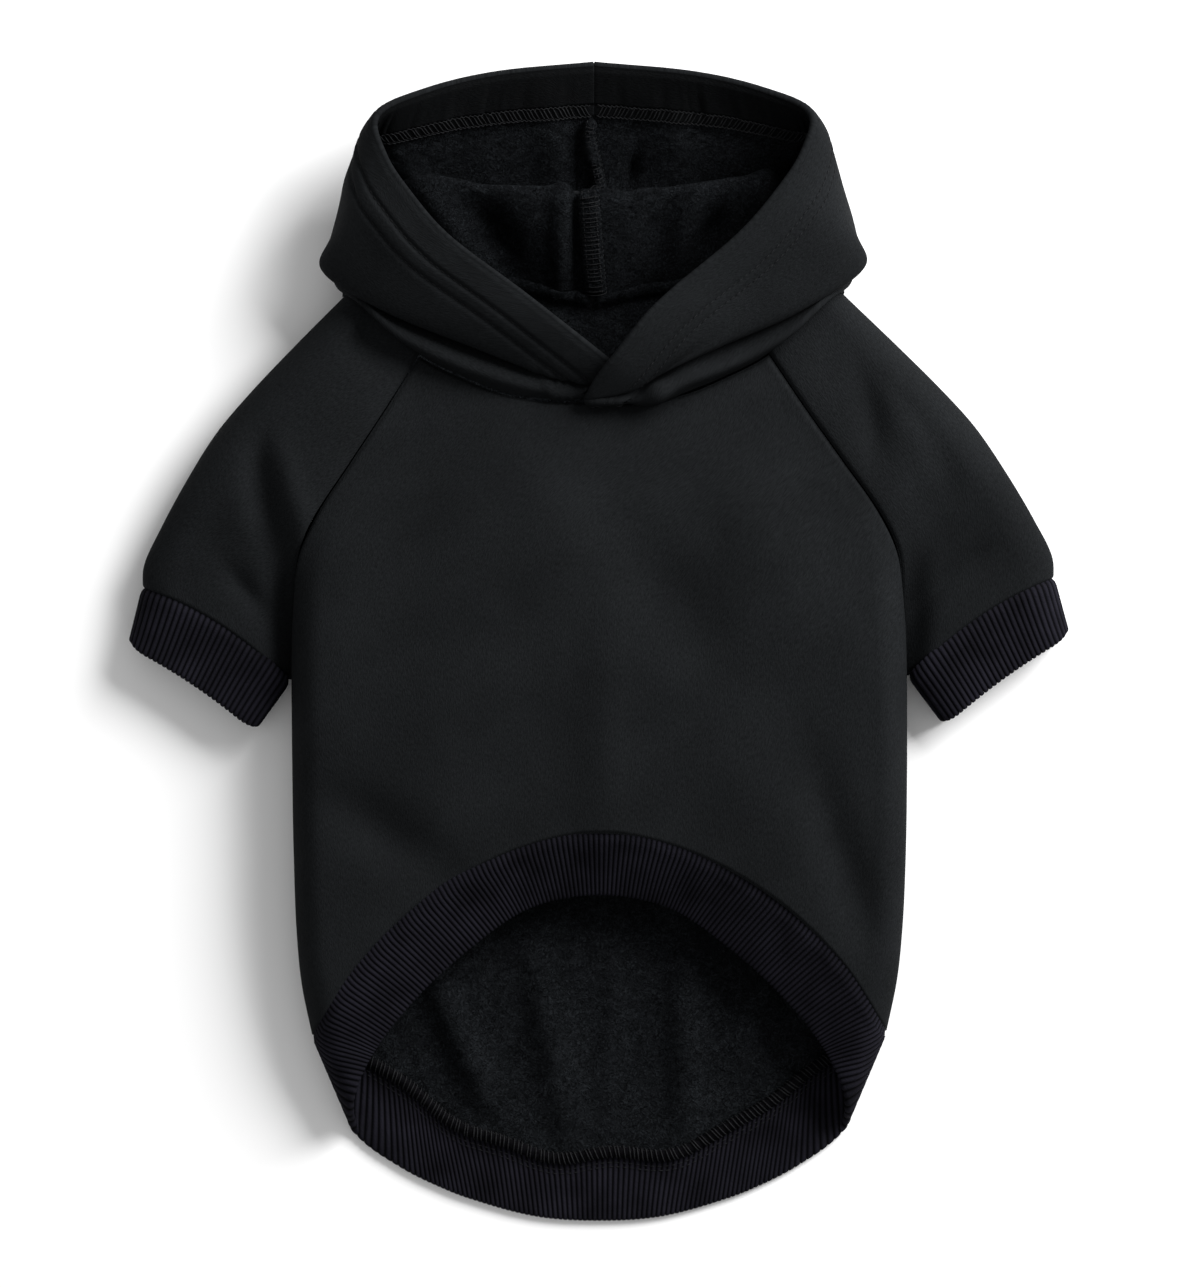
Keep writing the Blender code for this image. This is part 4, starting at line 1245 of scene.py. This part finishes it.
def cloth_materials(settings):
    """The materials of the cloth. The facing is the shell painted darker: painted shade, as it lies
    in the shade inside the hood.
    """
    shell = tuple(settings.shell_colour)
    colours = Cloths(shell, settings.fleece_colour, settings.rib_colour, settings.thread_colour,
                     tinted(shell, FACING_SHADE))
    looks = Cloths("shell", "fleece", "rib", "thread", "shell")
    made = [make_material("hoodie_" + part, LOOKS[look], tuple(colour))
            for part, look, colour in zip(Cloths._fields, looks, colours)]
    return Cloths(*made)


def edge_dips(grid, depth, width):
    """Grooves along all four edges of a grid."""
    total = np.zeros(grid.shape[:2])
    for distance in (*reach_along(grid, 1), *reach_along(grid, 0)):
        total = np.minimum(total, dip(distance, depth, width))
    return total


def clumps(grid, seed):
    """Unevenness of the brushed side, in metres."""
    return CLUMP_HEIGHT * waves(grid, CLUMP_SIZE, seed)


def tucked_top(grid, depth, reach):
    """The grid with its first row pushed on under the next piece, which fades over the reach."""
    tuck = depth * np.exp(-(reach_along(grid, 0)[0] / reach) ** 2)
    return grid + unit(grid[:1] - grid[1:2]) * tuck[..., None]


def shell_piece(name, grid, lift, sink, node, cloth):
    """A piece of fleece-lined cloth, its sides set off by lift and sink."""
    half = np.full(grid.shape[:2], CLOTH / 2)
    piece = cloth_piece(name, grid, half + lift, half + sink)
    dress(piece, node, (cloth.shell, cloth.fleece, cloth.shell))


class ClothStep:
    """What the cloth operators share: they build from the settings, the grids and the materials."""

    def execute(self, context):
        settings = context.scene.hoodie_cloth
        self.build(settings, shape_grids(), cloth_materials(settings))
        return {"FINISHED"}


class HOODIE_OT_body(ClothStep, bpy.types.Operator):
    """Builds the belly panel and the back panel"""

    bl_idname = "hoodie.body"
    bl_label = "Body panels"

    def build(self, settings, grids, cloth):
        belly = grids["belly"].copy()
        lift = edge_dips(belly, settings.seam_depth, SEAM_WIDTH)
        belly[..., 2] += creases(belly, BELLY_FOLDS) * settings.fold_scale
        shell_piece("belly_cloth", belly, lift, 0, "belly_panel", cloth)
        back = tucked_top(grids["back"][:, ::-1], *NECK_TUCK)
        to_hem = reach_along(back, 0)[1]
        rise_up = np.maximum(creases(back, BACK_FOLDS), 0) * settings.fold_scale
        back[..., 2] += rise_up * (0.25 + 0.75 * ramp(to_hem, 0.002, 0.016))
        sink = clumps(back, 8) * ramp(to_hem, 0.001, 0.006)
        shell_piece("back_cloth", back, 0, sink, "back_panel", cloth)


class HOODIE_OT_sleeves(ClothStep, bpy.types.Operator):
    """Builds the raglan sleeves"""

    bl_idname = "hoodie.sleeves"
    bl_label = "Sleeves"

    def build(self, settings, grids, cloth):
        for side in ("left", "right"):
            flat = grids["sleeve_" + side]
            lift = edge_dips(flat, settings.seam_depth, SEAM_WIDTH)
            share = np.linspace(0, 1, flat.shape[1])
            above = ramp(share if side == "left" else share[::-1], 0.52, 0.72)
            grid = tucked_top(flat, *SHOULDER_TUCK)
            grid[..., 2] += creases(grid, SLEEVE_FOLDS) * settings.fold_scale * above
            shell_piece("sleeve_cloth_" + side, grid, lift, 0, "sleeve_" + side, cloth)


def on_ring(row, length, at):
    """Points of a closed row at distances along it."""
    columns = [np.interp(at, length[:-1], row[:, axis], period=length[-1]) for axis in range(3)]
    return np.stack(columns, axis=-1)


def even_ring(grid, pitch, steps, corner=None):
    """A ring grid with evenly spaced columns, a whole number of ribs round, and the ribs' height.

    Up to the corner column the ribs stand across the curved band: each runs from the seam to the
    nearest place on the free edge, and past the corners this lean fades. The height is 1 on a ridge
    and 0 in a groove: the root of the cosine's size, so that ridges are wide and grooves narrow.
    """
    lengths = reach_along(np.concatenate([grid, grid[:, :1]], axis=1), 1)[0]
    middle = lengths[len(grid) // 2]
    count = int(round(middle[-1] / pitch))
    places = np.linspace(0, middle[-1], count * steps + 1)[:-1]
    stops = [0, -1] if corner is None else [0, corner, -1]
    own = np.array([np.interp(places, middle[stops], length[stops]) for length in lengths])
    if corner is not None:
        front = places <= middle[corner]
        edge_at = np.linspace(0, lengths[-1][corner], 3000)
        edge = on_ring(grid[-1], lengths[-1], edge_at)[:, :2]
        seam = on_ring(grid[0], lengths[0], own[0, front])[:, :2]
        nearest = np.linalg.norm(seam[:, None] - edge, axis=-1).argmin(axis=1)
        lean_front = edge_at[nearest] - own[-1, front]
        lean = lean_front[-1] * (1 - ramp(places - middle[corner], 0, RIB_LEAN_FADE))
        lean += lean_front[0] * (1 - ramp(middle[-1] - places, 0, RIB_LEAN_FADE))
        lean[front] = lean_front
        window = np.ones(12 * steps) / (12 * steps)
        lean = np.convolve(np.tile(lean, 3), window, "same")[len(lean):2 * len(lean)]
        own = own + lean * np.linspace(0, 1, len(grid))[:, None]
    ring = np.array([on_ring(row, length, at) for row, length, at in zip(grid, lengths, own)])
    wave = np.abs(np.cos(np.pi * np.arange(len(places)) / steps)) ** 0.6
    return ring, np.broadcast_to(wave, ring.shape[:2])


def rib_piece(name, grid, corner, settings, pitch, steps, node, material):
    """A band of rib knit: a ring whose outer and inner sides rise and fall with the ribs."""
    ring, wave = even_ring(tucked_top(grid, *RIB_TUCK), pitch, steps, corner)
    top = reach_along(ring, 0)[0]
    calm = 1 - 0.5 * np.exp(-(top / RIB_CALM) ** 2)
    level = RIB_CLOTH / 2 + settings.rib_depth * (wave - 0.5) * calm
    outer = level + dip(top, 0.0012, 0.0014)
    piece = cloth_piece(name, ring, outer, level, ring=True, bulge=0.9, cap_steps=5, ribs=wave)
    dress(piece, node, (material, material, material))


class HOODIE_OT_bands(ClothStep, bpy.types.Operator):
    """Builds the rib cuffs and the rib hem band"""

    bl_idname = "hoodie.bands"
    bl_label = "Rib cuffs and hem band"

    def build(self, settings, grids, cloth):
        for side in ("left", "right"):
            rib_piece("cuff_rib_" + side, grids["cuff_" + side], None, settings,
                      settings.cuff_rib_pitch, CUFF_RIB_STEPS, "cuff_" + side, cloth.rib)
        corner = grids["belly"].shape[1] - 1
        rib_piece("hem_rib", grids["band"], corner, settings, settings.rib_pitch, HEM_RIB_STEPS,
                  "hem_band", cloth.rib)


def below(distance, limit, blend):
    """1 below the limit and 0 above it, with a short blend between."""
    return 1 - ramp(distance, limit - blend, limit + blend)


def hood_layers(side, settings, grids):
    """Plain and folded grid of a hood half, how far its sides lie off it, and the rim distance."""
    grid = grids["hood_" + side]
    from_start, from_end = reach_along(grid, 1)
    from_rim = from_end if side == "left" else from_start
    station = np.linspace(0, len(HOOD) - 1, len(grid))[:, None]
    front = ramp(station, *HOOD_SIDE_STATIONS)
    half = CLOTH / 2
    edge = ramp(from_rim, 0.0, RIM_ROUND)
    facing = below(from_rim, HOOD_HEM, 0.0003)
    serged = below(from_rim, HOOD_HEM + OVERLOCK_WIDTH, 0.0004)
    inner = half + (0.4 + 0.6 * edge) * HEM_LAYER * facing + SERGED_LAYER * (serged - facing)
    inner = inner + dip(from_rim - HOOD_HEM, *HEM_STEP) + clumps(grid, 5) * (1 - serged)
    outer = half + RIM_SWELL * edge * (1 - ramp(from_rim, *RIM_SWELL_ENDS))
    for wanted in STITCH_ROWS[side]:
        outer = outer + dip(from_rim - wanted, HEM_GROOVE[side], HEM_GROOVE_WIDTH)
    outer = outer + dip(reach_along(grid, 0)[1], *THROAT_GROOVE)
    soft = creases(grid, HOOD_FRONT_FOLDS) * front - creases(grid, HOOD_BACK_FOLDS) * (1 - front)
    puckers = np.sin(station * 31 + 4 * np.sin(station * 7))
    puckers = puckers + 0.8 * np.sin(station * 67) * np.sin(station * 11)
    near_hem = np.exp(-((from_rim - HOOD_HEM * 0.75) / PUCKER_REACH) ** 2)
    soft = soft - PUCKER * puckers * near_hem * (1 - front)
    path = path_places() if side == "left" else path_places()[::-1]
    pressed = np.exp(-((path - CREASE_PLACE) / CREASE_WIDTH) ** 2) * front
    moved = grid + outward(grid) * (soft * settings.fold_scale)[..., None]
    moved[..., 1] += CREASE_TUCK * pressed
    moved[..., 2] -= CREASE_DROP * pressed
    moved[..., 2] = np.maximum(moved[..., 2], CLOTH / 2 + 0.0004)
    return grid, moved, outer, inner, from_rim


class HOODIE_OT_hood(ClothStep, bpy.types.Operator):
    """Builds both hood halves with their turned-in hem"""

    bl_idname = "hoodie.hood"
    bl_label = "Hood"

    def build(self, settings, grids, cloth):
        for side in ("left", "right"):
            grid, moved, outer, inner, from_rim = hood_layers(side, settings, grids)
            piece = cloth_piece("hood_cloth_" + side, moved, outer, inner, bulge=0.8)
            materials = (cloth.shell, cloth.fleece, cloth.shell, cloth.facing)
            dress(piece, "hood_" + side, materials)
            faces = piece.data.polygons
            kinds = np.empty(len(faces), np.int32)
            faces.foreach_get("material_index", kinds)
            count = (grid.shape[0] - 1) * (grid.shape[1] - 1)
            # The facing and its overlock strip get the facing material: the shell with painted shade
            facing = (from_rim[:-1, :-1] < HOOD_HEM + OVERLOCK_WIDTH).ravel()
            kinds[count:2 * count][facing] = materials.index(cloth.facing)
            faces.foreach_set("material_index", kinds)
            piece.data.update()


class HOODIE_OT_hood_seams(ClothStep, bpy.types.Operator):
    """Builds the hood's stitches and the seam strips inside it"""

    bl_idname = "hoodie.hood_seams"
    bl_label = "Hood seams"

    def build(self, settings, grids, cloth):
        radius = settings.thread_radius
        for side in ("left", "right"):
            grid, moved, outer, inner, from_rim = hood_layers(side, settings, grids)
            normal = outward(moved)
            top = moved + normal * outer[..., None]
            bottom = moved - normal * inner[..., None]
            groups = []
            for wanted in STITCH_ROWS[side]:
                groups.append(stitch_row(line_at(top, normal, from_rim, wanted), *HOOD_STITCH))
            serged = line_at(bottom, -normal, from_rim, HOOD_HEM + OVERLOCK_WIDTH / 2)
            slant = OVERLOCK_SLANT if side == "left" else -OVERLOCK_SLANT
            width = OVERLOCK_WIDTH * 0.92
            groups.append(overlock_row(serged, OVERLOCK_PITCH, width, 0.0004, slant, radius))
            for offset in (-OVERLOCK_WIDTH / 2, OVERLOCK_WIDTH / 2):
                groups.append(chain_row(serged, radius, offset))
            joined("hood_stitches_" + side, groups, "hood_" + side, cloth.thread)
            neck_column = 2 if side == "left" else -3
            last = int(len(grid) * NECK_STRIP_SHARE)
            track = Track(bottom[:last, neck_column], -normal[:last, neck_column])
            track = Track(track.points + track.normals * 0.0002, track.normals)
            groups = [padded_strip(track, *NECK_STRIP), fuzz(track, *NECK_FUZZ)]
            joined("neck_seam_strip_" + side, groups, "hood_" + side, cloth.fleece)
            if side == "left":
                self.centre_strips(bottom[0], -normal[0], radius, cloth)

    def centre_strips(self, row, normals, radius, cloth):
        """The serged centre seam: an upright wavy strip above the lip and a flat one below it."""
        lip = sum(PATH_STEPS[:2])
        last = len(row) - 1 - int(PATH_STEPS[4] * CENTRE_STRIP_END)
        spans = {
            "centre_seam_upper": (lip + 6, last, UPPER_STRIP),
            "centre_seam_lower": (3, lip + 2, LOWER_STRIP),
        }
        for name, (start, end, shape) in spans.items():
            points = row[start:end].copy()
            points[:, 0] = curve(shape, np.linspace(0, 1, len(points)))
            track = Track(points, normals[start:end])
            width, height, sway = STRIP_SIZES[name]
            count = int(track.length * FUZZ_DENSITY)
            groups = [
                padded_strip(track, width, height, sway, 7),
                fuzz(track, count, width, height * 0.9, CENTRE_FUZZ_LENGTH, FINE_FUZZ_RADIUS, 9),
            ]
            joined(name, groups, "hood_left", cloth.fleece)
            thin = radius * THIN_THREAD
            wide, high = width * 1.02, height * 1.02
            groups = [overlock_row(track, CENTRE_PITCH, wide, high, CENTRE_SLANT, thin)]
            for offset in (-0.3, 0.0, 0.3):
                points, faces = stitch_row(
                    track, *CENTRE_STITCH, height * 0.12, thin, offset * width)
                groups.append((points + (0, 0, height * 0.92), faces))
            joined(name + "_stitches", groups, "hood_left", cloth.thread)


class HOODIE_OT_hem_seams(ClothStep, bpy.types.Operator):
    """Builds the overlocked back hem seam and its twin topstitch"""

    bl_idname = "hoodie.hem_seams"
    bl_label = "Back hem seam"

    def build(self, settings, grids, cloth):
        radius = settings.thread_radius
        lower = grids["band"][:, grids["belly"].shape[1]:][:, ::-1]
        seam = lower[0] + (0, 0, RIB_CLOTH / 2)
        up = np.broadcast_to((0.0, 0.0, 1.0), seam.shape)
        track = Track(seam + (0, 0.0004, 0.0002), up)
        groups = [padded_strip(track, *HEM_STRIP), fuzz(track, *HEM_FUZZ, lean=0.4)]
        joined("back_hem_strip", groups, "hem_band", cloth.rib)
        groups = [
            overlock_row(track, *HEM_LOOPS, radius),
            chain_row(Track(seam + (0, 0.0024, 0.0006), up), radius, 0.0),
        ]
        inward = unit(lower[-1] - lower[0])
        for reach in TWIN_STITCH:
            row = Track(seam + inward * reach + (0, 0, settings.rib_depth * 0.3), up)
            groups.append(stitch_row(row, *HEM_STITCH))
        joined("back_hem_stitches", groups, "hem_band", cloth.thread)


class HOODIE_OT_stage(bpy.types.Operator):
    """Builds the floor, the lights and the camera straight above"""

    bl_idname = "hoodie.stage"
    bl_label = "Studio"

    def execute(self, context):
        settings = context.scene.hoodie_stage
        scene = context.scene
        corners = FLOOR_SIZE / 2 * np.array([(-1, -1, 0), (1, -1, 0), (1, 1, 0), (-1, 1, 0)])
        corners[:, 2] = -FLOOR_CLEARANCE
        floor = mesh_object("studio_floor", corners, np.array([[0, 1, 2, 3]]), np.zeros(1, int))
        colour = tuple(settings.floor_colour)
        floor.data.materials.append(make_material("pale_floor", LOOKS["floor"], colour))
        world = bpy.data.worlds.new("studio_light")
        world.use_nodes = True
        background = world.node_tree.nodes["Background"]
        background.inputs["Color"].default_value = (1.0, 1.0, 1.0, 1.0)
        background.inputs["Strength"].default_value = settings.fill_strength
        scene.world = world
        light = bpy.data.lights.new("key_light", "AREA")
        light.shape = "SQUARE"
        light.size = KEY_WIDTH
        light.energy = settings.key_power
        item = bpy.data.objects.new("key_light", light)
        item.location = KEY_PLACE
        item.rotation_euler = Vector(KEY_PLACE).to_track_quat("Z", "Y").to_euler()
        scene.collection.objects.link(item)
        camera = bpy.data.cameras.new("camera")
        camera.type = "PERSP"
        camera.sensor_width = 36.0
        distance = settings.camera_height - CAMERA_FOCUS_HEIGHT
        camera.lens = camera.sensor_width * distance / settings.view_height
        item = bpy.data.objects.new("camera", camera)
        item.location = (*CAMERA_CENTRE, settings.camera_height)
        scene.collection.objects.link(item)
        scene.camera = item
        scene.view_settings.view_transform = "Standard"
        scene.view_settings.look = "None"
        return {"FINISHED"}


class HOODIE_PT_panel(bpy.types.Panel):
    """Lists the pieces of the hoodie in the sidebar"""

    bl_idname = "HOODIE_PT_panel"
    bl_label = "Dog Hoodie"
    bl_space_type = "VIEW_3D"
    bl_region_type = "UI"
    bl_category = "Dog Hoodie"

    def draw(self, context):
        layout = self.layout
        for operator in OPERATORS:
            layout.operator(operator.bl_idname)
        for group in (context.scene.hoodie_cloth, context.scene.hoodie_stage):
            box = layout.box()
            for name in group.bl_rna.properties.keys():
                if name not in ("rna_type", "name"):
                    box.prop(group, name)


OPERATORS = (
    HOODIE_OT_body,
    HOODIE_OT_sleeves,
    HOODIE_OT_bands,
    HOODIE_OT_hood,
    HOODIE_OT_hood_seams,
    HOODIE_OT_hem_seams,
    HOODIE_OT_stage,
)
CLASSES = (HoodieClothSettings, HoodieStageSettings, *OPERATORS, HOODIE_PT_panel)


def register():
    for item in CLASSES:
        bpy.utils.register_class(item)
    bpy.types.Scene.hoodie_cloth = bpy.props.PointerProperty(type=HoodieClothSettings)
    bpy.types.Scene.hoodie_stage = bpy.props.PointerProperty(type=HoodieStageSettings)


def unregister():
    del bpy.types.Scene.hoodie_stage
    del bpy.types.Scene.hoodie_cloth
    for item in reversed(CLASSES):
        bpy.utils.unregister_class(item)


def main():
    register()
    bpy.ops.hoodie.body()
    bpy.ops.hoodie.sleeves()
    bpy.ops.hoodie.bands()
    bpy.ops.hoodie.hood()
    bpy.ops.hoodie.hood_seams()
    bpy.ops.hoodie.hem_seams()
    bpy.ops.hoodie.stage()


if __name__ == "__main__":
    main()
